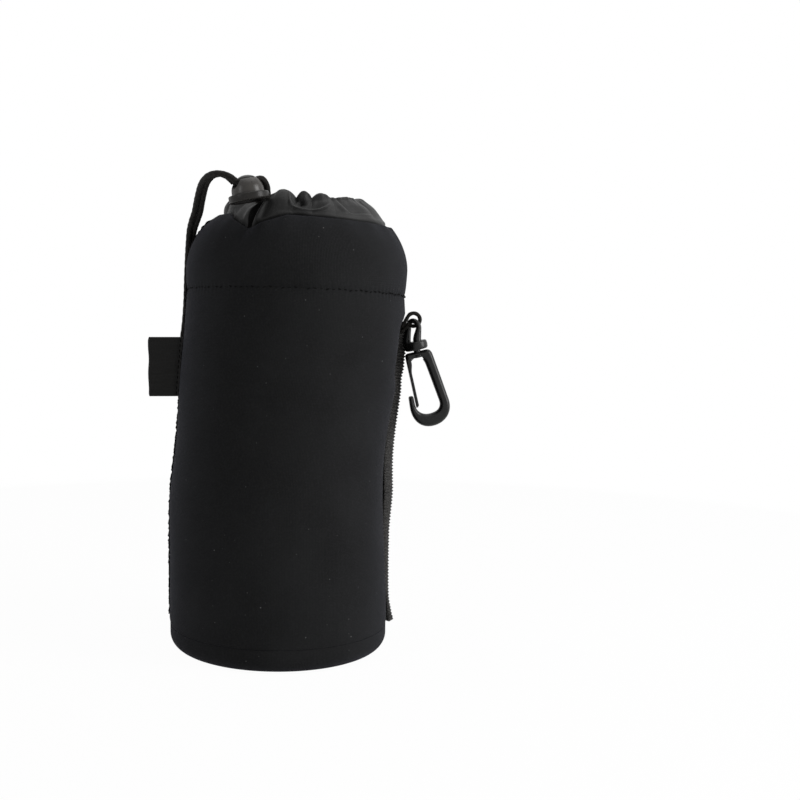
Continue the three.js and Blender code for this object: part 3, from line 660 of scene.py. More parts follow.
def neopreneWall():
    angle = np.arange(body["columns"]) / body["columns"] * fullTurn
    bottom, edge, wall = body["seam"] + body["seamGap"], body["seamEdge"], body["wall"]
    rows = []
    for turn in np.linspace(0, math.pi / 2, 5):
        rows.append(onWall(angle, bottom + edge * (1 - math.cos(turn)) * np.ones_like(angle),
                           edge * (1 - math.sin(turn))))
    # rows of the outside, closest together at the hem
    heights = np.concatenate([np.linspace(11.2, 15, 7), np.arange(17, 143, 2.5), np.linspace(144, 155, 36),
                              [156.6, body["shoulderStart"]]])
    for height in heights:
        fade = bell(height - body["hemLine"], 12) * (1 - smooth(151, 157.5, height))
        points = onWall(angle, height + (hemHeight(angle) - body["hemLine"]) * fade, 0)
        rows.append(pushOut(points, angle, bodyShift(angle, height, points)))
    rim = rimAt(angle)
    crease = turnBetween(angle, body["notch"])
    for share in np.linspace(0, 1, 31)[1:]:
        points = onShoulder(angle, rim * share, 0)
        gather = 0.35 * np.cos(23 * angle + 1.3 * np.sin(3 * angle)) * share ** 4
        fold = 1.5 * bell(crease, 0.085) * share ** 5 - 0.7 * bell(crease - 0.2, 0.11) * share ** 4
        level = body["shoulderStart"] + body["shoulderRise"] * share
        rows.append(pushOut(points, angle, bodyShift(angle, level, points) + gather - fold))
    last, roll = rows[-1], body["rimRoll"]
    for turn in np.linspace(0, math.pi / 2, 6)[1:]:
        tucked = onShoulder(angle, rim + roll * math.sin(turn) / 25, roll * (1 - math.cos(turn)))
        rows.append(tucked + (last - onShoulder(angle, rim, 0)))
    # and back down the inside
    rows.append(onShoulder(angle, rim + 0.03, wall - 0.8))
    for share in np.linspace(1, 0, 14):
        rows.append(onShoulder(angle, rim * share, wall))
    for height in np.linspace(150, bottom, 26):
        rows.append(onWall(angle, height * np.ones_like(angle), wall))
    made = gridPiece("bodyNeoprene", np.stack(rows), neoprene, wrapColumns=True, wrapRows=True)
    return settle(made, "pouch", "neoprene", "body_wall")


def neopreneBase():
    radius, fillet, wall, inside = body["radius"], body["fillet"], body["wall"], body["insideFillet"]
    top, edge = body["seam"] - body["seamGap"], body["seamEdge"]
    profile = [(1, 0.35), (12, 0.3), (26, 0.15), (34, 0.02)]
    profile += arc((radius - fillet, fillet), fillet, -90, 0, 14)
    profile += arc((radius - edge, top - edge), edge, 0, 90, 5)
    profile += arc((radius - wall - inside, wall + inside), inside, 0, -90, 7)
    profile += [(30, wall), (15, wall), (1, wall)]
    made = closedPiece("baseNeoprene", latheGrid(profile, 240), neoprene)
    return settle(made, "pouch", "neoprene", "base_cup")


# heightAt gives the line that the stitches follow, beside their own uneven heights
def surfaceStitches(name, angle, z, sink, length, radius, heightAt=None):
    place = onWall(angle, z, sink)
    place = pushOut(place, angle, swell(place))
    ahead = onWall(angle + 0.01, heightAt(angle + 0.01) if heightAt else z, sink)
    direction = ahead - onWall(angle, z, sink)
    direction /= np.linalg.norm(direction, axis=1, keepdims=True)
    normal = np.stack([np.cos(angle), np.sin(angle), 0 * angle], -1)
    settle(stitchRow(name, place, direction, normal, length, radius), "pouch", "neoprene")


def onOutside(turn, z):
    if z <= body["shoulderStart"]:
        return onWall(np.array(turn), np.array(float(z)), 0.0)
    climb = math.asin((z - body["shoulderStart"]) / body["shoulderRise"])
    return onShoulder(np.array(turn), np.array(climb), 0.0)


def bodyStitching():
    number = np.arange(body["hemStitches"])
    angle = (number + 0.5) / len(number) * fullTurn
    sink = 0.72 + 0.17 * np.sin(2.4 * number) * np.sin(0.37 * number)
    uneven = hemHeight(angle) + 0.2 * np.sin(1.7 * number)
    surfaceStitches("hemStitches", angle, uneven, sink, 1.35, 0.28, hemHeight)
    angle = np.arange(body["baseStitches"]) / body["baseStitches"] * fullTurn
    surfaceStitches("baseStitches", angle, np.full_like(angle, body["baseLine"]), 0.26, 1.9, 0.26)
    # overlocked side seam: two threads that cross from side to side
    height = np.arange(*body["seamSpan"], body["seamStep"])
    for name, side in (("A", 1), ("B", -1)):
        zigzag = (np.arange(len(height)) % 2 - 0.5) * body["seamWidth"]
        across = side * (zigzag + random.normal(0, 0.14, len(height)))
        path = []
        for z, off in zip(height, across):
            turn = math.pi - off / body["radius"]
            lift = 0.2 + (0.5 + 0.6 * float(smooth(174, 179, z))) * random.random()  # loosest at the top
            path.append(onOutside(turn, z) + lift * np.array((math.cos(turn), math.sin(turn), 0)))
        settle(plainTube(f"sideSeamThread{name}", path, 0.3, 6, 0.42, thread), "pouch", "neoprene")


# gathered nylon collar: stations from the skirt inside the rim to the flap inside the casing

collar = {
    "lining": 4.3, "skirtFoot": 149.0, "mouthX": 9.5, "hemRadius": 29.2, "hemTop": 186.7, "flapFoot": 181.2,
    "inside": 24.1, "exitClimb": math.radians(2.5), "exitDepth": 2.5, "swell": 0.13, "columns": 900,
    "cloth": 0.45,
    "gap": math.radians(-124), "gapHalf": math.radians(13), "dip": 0.8,
    "pleat": -123.6, "pleatDrift": 0.9, "pleatDepth": 7.2, "pleatHalf": 3.0,
    # lobes of the hem: place and half width in degrees, rise, reach outwards
    "lobes": [
        (-114, 6, 0.9, 0.4), (-105.5, 9.5, 3.4, 1.0), (-88.5, 6, 2.7, -0.8), (-74, 7, 1.9, 0.4),
        (-47, 16, 1.0, 0.8),
        (-20, 9, 0.9, 0.7), (2, 9, 2.0, 1.2), (24, 8, 1.4, 0.9), (47, 10, 2.2, 1.3), (70, 8, 1.4, 0.8),
        (93, 10, 2.2, 1.3), (115, 8, 1.5, 0.9), (138, 10, 2.2, 1.3), (160, 8, 1.4, 0.8), (182, 10, 2.0, 1.2),
        (206, 10, 1.3, 0.8),
    ],
    "creasedFrom": 5,  # the lobes from this one on have a crease beside them
}


def toDegrees(angle):
    return np.degrees((angle + math.pi) % fullTurn - math.pi)


def degreesFrom(degrees, place):
    return np.abs((degrees - place + 180) % 360 - 180)


def hemLobes(degrees):
    rise, reach = np.zeros_like(degrees), np.zeros_like(degrees)
    for place, half, up, out in collar["lobes"]:
        hump = np.clip(1 - (degreesFrom(degrees, place) / (1.2 * half)) ** 2, 0, 1) ** 1.2
        rise, reach = np.maximum(rise, up * hump), reach + out * hump
    return rise, reach


# the casing is pushed in where the front of the hem folds back
def pushedIn(degrees):
    return 1.4 * between((-100, -93), (-68, -58), degrees)


# the mouth is drawn in further on the right
def drawnIn(degrees):
    return 3.6 * bell(degrees - 8, 46)


# angles round the collar, closest together at the pleat and along the front
def collarAngles():
    even = np.linspace(-180, 180, 7201)
    weight = 1 + 7 * bell(even + 120, 10) + 2 * bell(even + 82, 30)
    share = np.concatenate([[0], np.cumsum((weight[1:] + weight[:-1]) / 2)])
    wanted = np.arange(collar["columns"]) / collar["columns"] * share[-1]
    return np.radians(np.interp(wanted, share, even))


def collarGrid():
    angle = collarAngles()
    degrees = toDegrees(angle)
    rim = rimAt(angle)
    rise, reach = hemLobes(degrees)
    top = collar["hemTop"] + rise - collar["dip"] * bell(degrees + 128, 4.5)
    lining, radius = collar["lining"], collar["hemRadius"] - drawnIn(degrees)
    inside = collar["inside"] - pushedIn(degrees) - drawnIn(degrees)

    def hem(distance, z):
        return around(angle, distance, z * np.ones_like(angle), collar["mouthX"])

    leave = onShoulder(angle, rim + collar["exitClimb"], collar["exitDepth"])
    outer = hem(radius + reach, top - 1.3)
    slope = np.linalg.norm(outer - leave, axis=1)
    outUp = np.stack([np.cos(angle), np.sin(angle), np.ones_like(angle)], -1) / math.sqrt(2)

    def onSlope(share):
        swollen = 4 * share * (1 - share) * collar["swell"] * slope
        return leave + (outer - leave) * share + outUp * swollen[:, None]

    stations = np.stack([
        onWall(angle, np.full_like(angle, collar["skirtFoot"]), lining),
        onShoulder(angle, 0.5 * rim, lining),
        onShoulder(angle, rim - 0.01, lining - 0.2),
        leave, onSlope(0.33), onSlope(0.67), outer,
        hem(radius - 1.6 + 0.5 * reach, top),
        hem(inside + 1.2, top - 0.3),
        hem(inside - 0.6 * reach, top - 2.3),
        hem(inside - 0.3 * reach, collar["flapFoot"]),
    ])
    along = np.concatenate([np.linspace(0, 2.8, 12), np.linspace(2.85, 7.6, 80), np.linspace(7.7, 10, 14)])
    return angle, along, splineRows(stations, along)


# rows between the stations, each on a smooth curve through them
def splineRows(stations, along):
    rows = []
    last = len(stations) - 1
    for value in along:
        index = min(int(value), last - 1)
        a, b = stations[max(index - 1, 0)], stations[index]
        c, d = stations[index + 1], stations[min(index + 2, last)]
        rows.append(curveBetween(b, c, 0.42 * (c - a), 0.42 * (d - b), value - index))
    return np.stack(rows)


# smile-shaped lip on the front of the collar: its lowest point and its reach to each side
smile = {"middle": 13, "height": 181.8, "left": 8.3, "right": 7.65, "depth": 1.7, "ridge": 0.7, "front": -12}


# pocket above the lip, and the slanting fold beside it, as depths seen from the front
def frontFolds(points):
    x, y, z = points[..., 0], points[..., 1], points[..., 2]
    left = np.clip((smile["middle"] - x) / smile["left"], 0, 1.2)
    right = np.clip((x - smile["middle"]) / smile["right"], 0, 1.4)
    lip = smile["height"] + 1.6 * left ** 2 + 3.9 * left ** 9 + 2.4 * right ** 2.3
    slope = (3.2 * left + 35.1 * left ** 8) / smile["left"] + 5.5 * right ** 1.3 / smile["right"]
    above = (z - lip) / np.sqrt(1 + slope ** 2)
    pocket = smile["depth"] * smooth(0, 0.7, above) * between((4.2, 5.2), (15, 21.5), x)
    pocket *= 1 - smooth(185.6, 188.4, z)
    ridge = smile["ridge"] * bell(above + 0.45, 0.5) * between((3.6, 4.8), (18.5, 22), x)
    hollow = 2.4 * bell(x - 9.3, 1.7) * bell(z - 185, 1.2)
    across = (x - 22.4 + z - 186.9) / math.sqrt(2)
    fold = 1.3 * between((-0.3, 0.7), (2.5, 8), across) - 0.5 * bell(across + 1.1, 0.9)
    fold *= between((180.2, 181.6), (186.6, 188.2), z)
    return (pocket - ridge + hollow + fold) * (y < smile["front"])


def nylonCollar():
    angle, along, points = collarGrid()
    turn, row = np.meshgrid(angle, along)
    degrees = toDegrees(turn)
    onSlope = between((3.1, 4.0), (6.4, 7.2), row)
    # deep pleat that the cord pulls in, narrow at the notch and wide at the hem, with a ridge on each side
    offset = degrees - collar["pleat"] - collar["pleatDrift"] * (row - 3)
    half = collar["pleatHalf"] * (0.25 + 0.85 * smooth(2.9, 5.0, row))
    pleat = collar["pleatDepth"] * between((-half - 0.6, -half + 0.6), (half - 0.8, half + 0.8), offset)
    pleat *= 1 - 0.45 * smooth(5, 6.3, row)
    pleat *= between((2.95, 4.0), (8.2, 9.4), row)
    points = points - np.stack([np.cos(turn), np.sin(turn), 0 * turn], -1) * pleat[..., None]
    inwards = -1.6 * bell(offset - 5.4, 2.2) * onSlope - 0.9 * bell(offset + 5, 3) * onSlope
    # crevice at the rim, under a slight roll of the cloth
    front = between((-124, -116), (0, 20), degrees)
    inwards += front * (2.2 * bell(row - 3.14, 0.22) - 0.5 * bell(row - 3.62, 0.22))
    inwards += frontFolds(points)
    # creases that run down from the valleys of the hem, round the sides and the back
    for lobe in collar["lobes"][collar["creasedFrom"]:]:
        away = degreesFrom(degrees, lobe[0] + 1.15 * lobe[1])
        inwards += 0.8 * bell(away, 2.8) * between((3.5, 5.6), (6.6, 7.6), row)
    pucker = 0.11 * np.sin(47 * turn + 2.2 * np.sin(5 * turn) + 0.7 * row)
    pucker = pucker + 0.06 * np.sin(83 * turn - 1.1 * row)
    inwards += pucker * between((4.6, 6.2), (8, 9.5), row)
    inwards += 0.16 * np.sin(13 * turn + 1.7 * row) * onSlope
    inwards *= between((2.9, 3.4), (8.2, 9.4), row)
    outwardWay = np.stack([np.cos(turn), np.sin(turn), np.full_like(turn, 0.35)], -1)
    points = points - outwardWay * inwards[..., None]
    made = gridPiece("collarNylon", points, nylon, wrapColumns=True)
    thick = made.modifiers.new("cloth", "SOLIDIFY")
    thick.thickness = collar["cloth"] * mm
    thick.offset = -1
    return settle(made, "pouch", "nylon", "gathered_collar")


# draw cord and its free tail, close to the routes of their solids

lock = {
    "place": (-11, -36, 184.5), "tilt": math.radians(10), "turn": math.radians(25),
    "barrel": 6.4, "foot": 2.8, "domeStart": 3.4, "domeRise": 6.8, "fullness": 2.1, "stem": 3.8,
    "stemBore": 4.1,
    "counterBore": 4.8, "springSeat": 4.8, "button": 7.9, "brim": 3, "cupInside": 6.7, "cupFloor": 1,
    "strandHeight": 7, "slotWidth": 5.7, "barrelSlot": (-1.5, 2.3), "stemSlot": (-3, 1.35),
    "spring": (4.3, 0.2, 3), "springSpan": (1.5, 4.3),
}
lockMatrix = (Matrix.Translation(lock["place"]) @ Matrix.Rotation(-lock["tilt"], 4, "Y")
              @ Matrix.Rotation(lock["turn"], 4, "Z"))
cord = {"diameter": 2.4, "spacing": 2.7, "ring": 26.6, "height": 184.8, "inside": 4.6, "rise": 1.0}
strandFront = [(-6.1, -34.7, 193.2), (-4.9, -33.8, 191.9), (-4.2, -32.5, 190), (-4, -30.8, 187.9),
               (-4.2, -28.6, 186.2), (-4.3, -26.6, 185.4)]
strandBack = [(-7.3, -31.9, 192.9), (-6.4, -30.6, 191.6), (-6.3, -28.8, 189.9), (-6.7, -26.9, 188.2),
              (-7.3, -24.9, 186.8), (-7.8, -22.8, 185.4)]
# middle line of the tail, the way its two strands lie side by side, and half their spacing
tailRoute = [
    (-18.2, -38, 193.2, 112, 1.27), (-20.2, -37.4, 194.4, 97, 1.23), (-22.8, -36.3, 195.1, 63, 1.18),
    (-25.9, -33.1, 194.8, 47, 1.12), (-28.2, -28.5, 193.4, 34, 1.12), (-29.7, -23.8, 191.6, 26, 1.14),
    (-30.8, -19, 189.2, 22, 1.16), (-31.9, -14, 186.1, 18, 1.18), (-33, -9, 182.5, 14, 1.2),
    (-34.5, -4.5, 179.3, 20, 1.22), (-36, 1, 175.8, 40, 1.22), (-37, 5.6, 171.2, 60, 1.4),
    (-38, 11, 165, 70, 1.5),
    (-38.6, 13.4, 156, 74, 1.8), (-38.9, 14.2, 146, 76, 2.4), (-39.3, 14.4, 136, 76, 3.7),
    (-40, 14.4, 128, 76, 4.9),
]
tailEnd = {"middle": (-40.4, 14.4, 122.5), "radius": 5.1, "facing": 76}


def lockPoint(along, across, up):
    return tuple(lockMatrix @ Vector((along, across, up)))


def drawCord():
    inside, half, height = cord["inside"], cord["spacing"] / 2, lock["strandHeight"]
    start = collar["gap"] + 0.7 * collar["gapHalf"]
    sweep = fullTurn - 1.4 * collar["gapHalf"]
    turns = start + sweep * np.arange(41) / 40
    degrees = toDegrees(turns)
    ringRadius = cord["ring"] - pushedIn(degrees) - drawnIn(degrees)
    ring = around(turns, ringRadius, cord["height"], collar["mouthX"])
    rise = height + cord["rise"]
    points = [lockPoint(-inside, -half, rise), lockPoint(0, -half, height), lockPoint(inside, -half, rise),
              *strandFront, *ring, *strandBack[::-1],
              lockPoint(inside, half, rise), lockPoint(0, half, height), lockPoint(-inside, half, rise)]
    made, _, length = braidedCord("drawCord", points, cord["diameter"])
    print(f"draw cord in the casing: {length:.0f} mm")
    return settle(made, "pouch", "cord", "draw_cord")


def cordTail():
    def sideways(angle):
        return np.array((math.cos(math.radians(angle)), math.sin(math.radians(angle)), 0))

    def strand(side):
        return [np.array((x, y, z)) + side * half * sideways(angle) for x, y, z, angle, half in tailRoute]

    inside, half, height = cord["inside"], cord["spacing"] / 2, lock["strandHeight"] + cord["rise"]
    bend = []
    middle, across = np.array(tailEnd["middle"]), sideways(tailEnd["facing"])
    for turn in np.linspace(0, math.pi, 7):
        drop = np.array((0, 0, math.sin(turn)))
        bend.append(middle - tailEnd["radius"] * (math.cos(turn) * across + drop))
    points = [lockPoint(-inside, -half, height), *strand(-1), *bend, *strand(1)[::-1],
              lockPoint(-inside, half, height)]
    made, line, length = braidedCord("drawCordTail", points, cord["diameter"])
    print(f"tail of the draw cord: {length:.0f} mm")
    settle(made, "cord_lock", "cord", "draw_cord_tail")


cordTail()
drawCord()
print("stage: cords")

neopreneWall()
neopreneBase()
bodyStitching()
nylonCollar()
print("stage: body and collar")

# cord lock


def cordCutter(span, reach):
    bottom, top = (lock["strandHeight"] + edge for edge in span)
    radius = min(1.5, (top - bottom) / 2)
    half = lock["slotWidth"] / 2 - radius
    corners = [(half, bottom + radius, -90), (half, top - radius, 0), (-half, top - radius, 90),
               (-half, bottom + radius, 180)]
    loop = np.array([point for x, z, start in corners for point in arc((x, z), radius, start, start + 90, 6)])
    rows = [np.stack([np.full(len(loop), x), loop[:, 0], loop[:, 1]], -1) for x in (-reach, reach)]
    return closedPiece("cordCutter", moved(np.stack(rows), lockMatrix), lockPlastic)


def domeLine(start, stop, steps):
    share = np.sin(np.linspace(0, math.pi / 2, steps))
    radius = start + (stop - start) * share
    full = lock["fullness"]
    height = lock["domeStart"] + lock["domeRise"] * (1 - (radius / lock["barrel"]) ** full) ** (1 / full)
    return list(zip(radius, height))


def lockBall():
    radius, foot, bore, counter = lock["barrel"], lock["foot"], lock["stemBore"], lock["counterBore"]
    dome = domeLine(radius, bore + 0.15, 26)
    top = dome[-1][1]
    profile = [(counter, lock["springSeat"]), (counter, foot + 0.15), (counter + 0.15, foot),
               (radius - 0.3, foot), (radius - 0.08, foot + 0.08), (radius, foot + 0.3)]
    profile += dome + [(bore + 0.05, top - 0.03), (bore, top - 0.15), (bore, lock["springSeat"])]
    grid = latheGrid(profile, 96, lockMatrix)
    made = gridPiece("lockBall", grid, lockPlastic, wrapColumns=True, wrapRows=True)
    slot = cordCutter(lock["barrelSlot"], 2 * radius)
    settle(cutBy(made, [slot]), "cord_lock", "lock_plastic", "lock_barrel")


def lockButton():
    radius, height, stem = lock["button"], lock["brim"], lock["stem"]
    inside, floor = lock["cupInside"], lock["cupFloor"]
    profile = [(0.3, 0.2), (4.6, 0.15), (5.2, 0.0)]
    profile += arc((radius - 0.9, 0.9), 0.9, -90, 0, 8) + arc((radius - 0.55, height - 0.55), 0.55, 0, 90, 7)
    profile += [(inside + 0.15, height), (inside, height - 0.15), (inside, floor), (stem, floor)]
    profile += [(stem, domeLine(stem, 0.3, 2)[0][1] - 0.15)] + domeLine(stem - 0.12, 0.3, 14)
    grid = latheGrid(profile, 96, lockMatrix)
    made = closedPiece("lockButton", grid, buttonPlastic)
    settle(cutBy(made, [cordCutter(lock["stemSlot"], 8)]), "lock_button", "lock_plastic", "lock_plunger")


def lockSpring():
    middle, wire, turns = lock["spring"]
    low, high = lock["springSpan"]
    points = []
    for share in np.linspace(0, 1, 49):
        angle = share * turns * fullTurn
        height = low + (high - low) * share
        points.append(lockPoint(middle * math.cos(angle), middle * math.sin(angle), height))
    made = plainTube("lockSpring", points, wire, 8, 0.4, springSteel)
    settle(made, "cord_lock", "spring_steel", "lock_spring")
    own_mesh(made)


lockBall()
lockButton()
lockSpring()
print("stage: cord lock")

# bare folded label in the left side seam

label = {"bottom": 106.1, "height": 25, "reach": 54.7, "thick": 0.9, "sink": 0.9}


def sideLabel():
    rows = []
    half = label["thick"] / 2
    for z in np.linspace(0, label["height"], 40):
        height = label["bottom"] + z
        seam = float(leanAt(height) - radiusAt(height)) + label["sink"]
        corner = 0.35 * (bell(z, 0.7) + bell(z - label["height"], 0.7))
        outer = -label["reach"] + 0.15 * math.sin(0.5 * z) + corner
        along = np.linspace(seam, outer + half, 26)
        bends = np.linspace(0.3, math.pi - 0.3, 6)
        fold = [(outer + half - half * math.sin(bend), -half * math.cos(bend)) for bend in bends]
        loop = [(x, -half) for x in along] + fold + [(x, half) for x in along[::-1]]
        line = []
        for x, y in loop:
            out = (seam - x) / 15
            bow = 0.5 * out ** 2 * math.sin(math.pi * (z / label["height"] - 0.1))
            ripple = 0.1 * math.sin(0.9 * z) * out
            pinch = 1 - 0.45 * bell(out - 0.16, 0.05)
            line.append((x, y * pinch + bow + ripple, height))
        rows.append(line)
    made = closedPiece("sideLabel", np.array(rows)[:, ::-1], satin)
    settle(made, "pouch", "label_satin", "side_label")
    height = label["bottom"] + np.arange(1.4, label["height"], 2.2)
    seam = leanAt(height) - radiusAt(height)
    for name, side in (("Front", -1), ("Back", 1)):
        place = np.stack([seam - 1.6, np.full_like(height, side * 0.34), height], -1)
        row = stitchRow(f"labelStitches{name}", place, (0, 0, 1), (0, side, 0), 1.5, 0.2)
        settle(row, "pouch", "label_satin")


sideLabel()
print("stage: label")

# belt strap of ribbed webbing, with its hook and loop tapes

strap = {
    "angle": math.radians(32), "width": 30, "thick": 1.6, "top": 137, "hinge": 122.3, "bottom": 5.2,
    "fold": 9, "flare": 1.5, "flareLength": 17, "flatTop": 66, "flatBottom": 44, "gap": 0.3, "tape": 1.0,
    "tapeWidth": 20, "tapeBottom": 22, "tapeLength": 32, "rib": 1.4, "selvedge": 4.3,
    "edgeRound": 0.7, "faceColumns": 34, "sewnHalf": 12.5, "sewnLines": (125.5, 135.2), "foldLine": 11.8,
}
outwards = np.array((math.cos(strap["angle"]), math.sin(strap["angle"]), 0))
alongWall = np.array((-math.sin(strap["angle"]), math.cos(strap["angle"]), 0))
tapeInside = body["radius"] + strap["gap"]
hookTapeInside = tapeInside + strap["tape"] + strap["gap"]
flapInside = hookTapeInside + strap["tape"] + strap["gap"]


def strapPoint(z, across, distance):
    bend = 1 - smooth(strap["flatBottom"], strap["flatTop"], z)
    sag = bend * (distance - np.sqrt(distance ** 2 - across ** 2))
    centre = np.stack([leanAt(z), 0 * z, z], -1)
    return centre + (distance - sag)[..., None] * outwards + across[..., None] * alongWall


def strapInside(z):
    share = np.clip((z - strap["bottom"]) / strap["flareLength"], 0, 1)
    flared = flapInside + strap["flare"] * (1 - share) ** 1.6
    return flared + (tapeInside - flared) * smooth(strap["hinge"] - 16, strap["hinge"], z)


def strapThickness(z):
    share = (z - strap["bottom"]) / strap["fold"]
    folded = 1 + 0.6 * (1 - smooth(0.15, 1.3, share)) + 0.25 * bell(share - 0.14, 0.12)
    folded += 0.65 * smooth(112, 118, z)  # its sewn top is turned under
    return strap["thick"] * folded * (0.55 + 0.45 * smooth(-0.02, 0.12, share))


def beltStrap():
    z = np.arange(strap["bottom"], strap["top"] + 0.01, 0.19)
    half, edgeRound, count = strap["width"] / 2, strap["edgeRound"], strap["faceColumns"]
    flat = np.linspace(-half + edgeRound, half - edgeRound, count)
    turn = np.linspace(-math.pi / 2, math.pi / 2, 7)[1:-1]
    side = half - edgeRound + edgeRound * np.cos(turn)
    # once round the section: outer face, one edge, inner face, the other edge
    outer = np.concatenate([flat, side[::-1], flat[::-1], -side])
    rise = np.sin(turn)
    level = np.concatenate([np.ones(count), 0.5 + 0.5 * rise[::-1], np.zeros(count), 0.5 + 0.5 * rise])
    face = np.concatenate([np.ones(count), 0.6 * rise[::-1], -np.ones(count), 0.6 * rise])
    height, across = np.meshgrid(z, outer, indexing="ij")
    rib = np.sin(fullTurn * height / strap["rib"] + math.pi * (np.round(across / 2.5) % 2))
    edge = bell(np.abs(across) - half, 1.4)
    warp = 0.05 * np.cos(fullTurn * across / 2.5)
    wander = 0.18 * np.sin(height / 11) + 0.1 * np.sin(height / 4.3)
    relief = (0.13 + 0.1 * edge) * rib + warp
    distance = strapInside(height) + level * strapThickness(height) + face * relief
    # thick selvedge, down to the wall
    room = (0.5 + 0.5 * smooth(40, 66, height)) * smooth(12, 30, height)
    room = room * (1 + 0.15 * smooth(104, 118, height))
    distance = distance - strap["selvedge"] * room * edge * (1 - level)
    distance = distance - 1.1 * between((60, 80), (108, 122), height)
    points = strapPoint(height, across + wander + 0.28 * edge * np.sign(across) * rib, distance)
    made = closedPiece("beltStrap", points, webbing)
    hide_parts("strap_anchor", "strap_flap")
    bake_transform(made)


# threads on the strap's outer face
def onStrap(z, across):
    return strapPoint(z, across, strapInside(z) + strapThickness(z) + 0.08)


def strapStitches():
    half = strap["sewnHalf"]
    across = np.arange(-half, half + 0.1, 2.5)
    height = np.arange(126.8, 134.5, 2.2)
    rows = [onStrap(np.full_like(across, line), across) for line in strap["sewnLines"]]
    sides = [onStrap(height, np.full_like(height, side)) for side in (-half, half)]
    way = [np.tile(alongWall, (len(across) * len(rows), 1)),
           np.tile((0.0, 0.0, 1.0), (len(height) * len(sides), 1))]
    made = stitchRow("anchorStitches", np.vstack(rows + sides), np.vstack(way), outwards, 1.9, 0.24)
    settle(made, "pouch", "webbing")
    fold = onStrap(np.full_like(across, strap["foldLine"]), across)
    settle(stitchRow("foldStitches", fold, alongWall, outwards, 1.9, 0.24), "belt_strap", "webbing")


# pile is the roughness of the tape's outer face, or of its inner face when below 0
def tapeBack(name, inside, carrier, finish, node, pile):
    z = np.linspace(strap["tapeBottom"], strap["tapeBottom"] + strap["tapeLength"], 90)
    half = strap["tapeWidth"] / 2
    flat = np.linspace(-half, half, 56)
    facing = np.repeat((1, -1), len(flat))
    height, over = np.meshgrid(z, np.concatenate([flat, flat[::-1]]), indexing="ij")
    rough = random.random(height.shape) * 0.3 * pile
    shift = (facing > 0) * strap["tape"] - rough * (facing * pile > 0)
    made = closedPiece(name, strapPoint(height, over, inside + shift), finish)
    return settle(made, carrier, "fastener_tape", node)


def tapeHooks():
    grid = np.meshgrid(np.arange(-9, 9.1, 1.2), np.arange(strap["tapeBottom"] + 1, 53.5, 1.2))
    across, height = (values.ravel() for values in grid)
    place = strapPoint(height, across, np.full_like(height, hookTapeInside - 0.02))
    made = stitchRow("hookTapeHooks", place, (0, 0, 1), -outwards, 0.7, 0.16, hookPile)
    settle(made, "belt_strap", "fastener_tape")


beltStrap()
strapStitches()
tapeBack("loopTape", tapeInside, "pouch", loopPile, "strap_loop_tape", 1)
tapeBack("hookTape", hookTapeInside, "belt_strap", hookPile, "strap_hook_tape", -0.1)
tapeHooks()
print("stage: strap")

# cord loop and swivel snap hook

hook = {
    "loop": (58.2, 10, 138.2), "loopRadius": 2.75, "loopCord": 1.7, "loopRoot": 134,
    "tilt": math.radians(13), "shank": -1.4, "bailWire": 2.4, "bailTurn": math.radians(-48), "bailBend": 2.9,
    "bailFoot": 3.0, "bailShift": -0.7, "footShift": -1.2,
    "collarTop": 9.2, "collarHeight": 3.7, "collarRadius": 4.9, "post": 1.5, "head": (2.3, 1.0),
    "top": 13.6, "bar": 1.4, "length": 33, "depth": 4.4, "round": 1.8,
    "gateTop": 17.5, "gateTip": 37.2, "gateFace": -6.95, "gateThick": 1.25, "gateDepth": 3.2,
}
hookMatrix = Matrix.Translation(hook["loop"]) @ Matrix.Rotation(-hook["tilt"], 4, "Y")


def hookLoop():
    spread = hook["loopCord"] / 2 + 0.3
    under = tapeInside - 0.6 - hook["loopCord"] / 2
    openAngle = math.radians(135)
    centre = np.array(hook["loop"])

    def end(side):
        z = np.array(hook["loopRoot"] + side * spread)
        return strapPoint(z, np.array(-strap["width"] / 2 - 0.3), np.array(under))

    def onRing(angle):
        return centre + hook["loopRadius"] * np.array((math.cos(angle), 0, math.sin(angle)))

    points = [end(1), (end(1) + onRing(openAngle)) / 2]
    points += [onRing(openAngle * (1 - 2 * step / 12)) for step in range(13)]
    points += [(end(-1) + onRing(-openAngle)) / 2, end(-1)]
    made = braidedCord("hookLoop", points, hook["loopCord"], step=0.22, sides=16, plait=2.6)[0]
    settle(made, "pouch", "cord", "hook_loop")


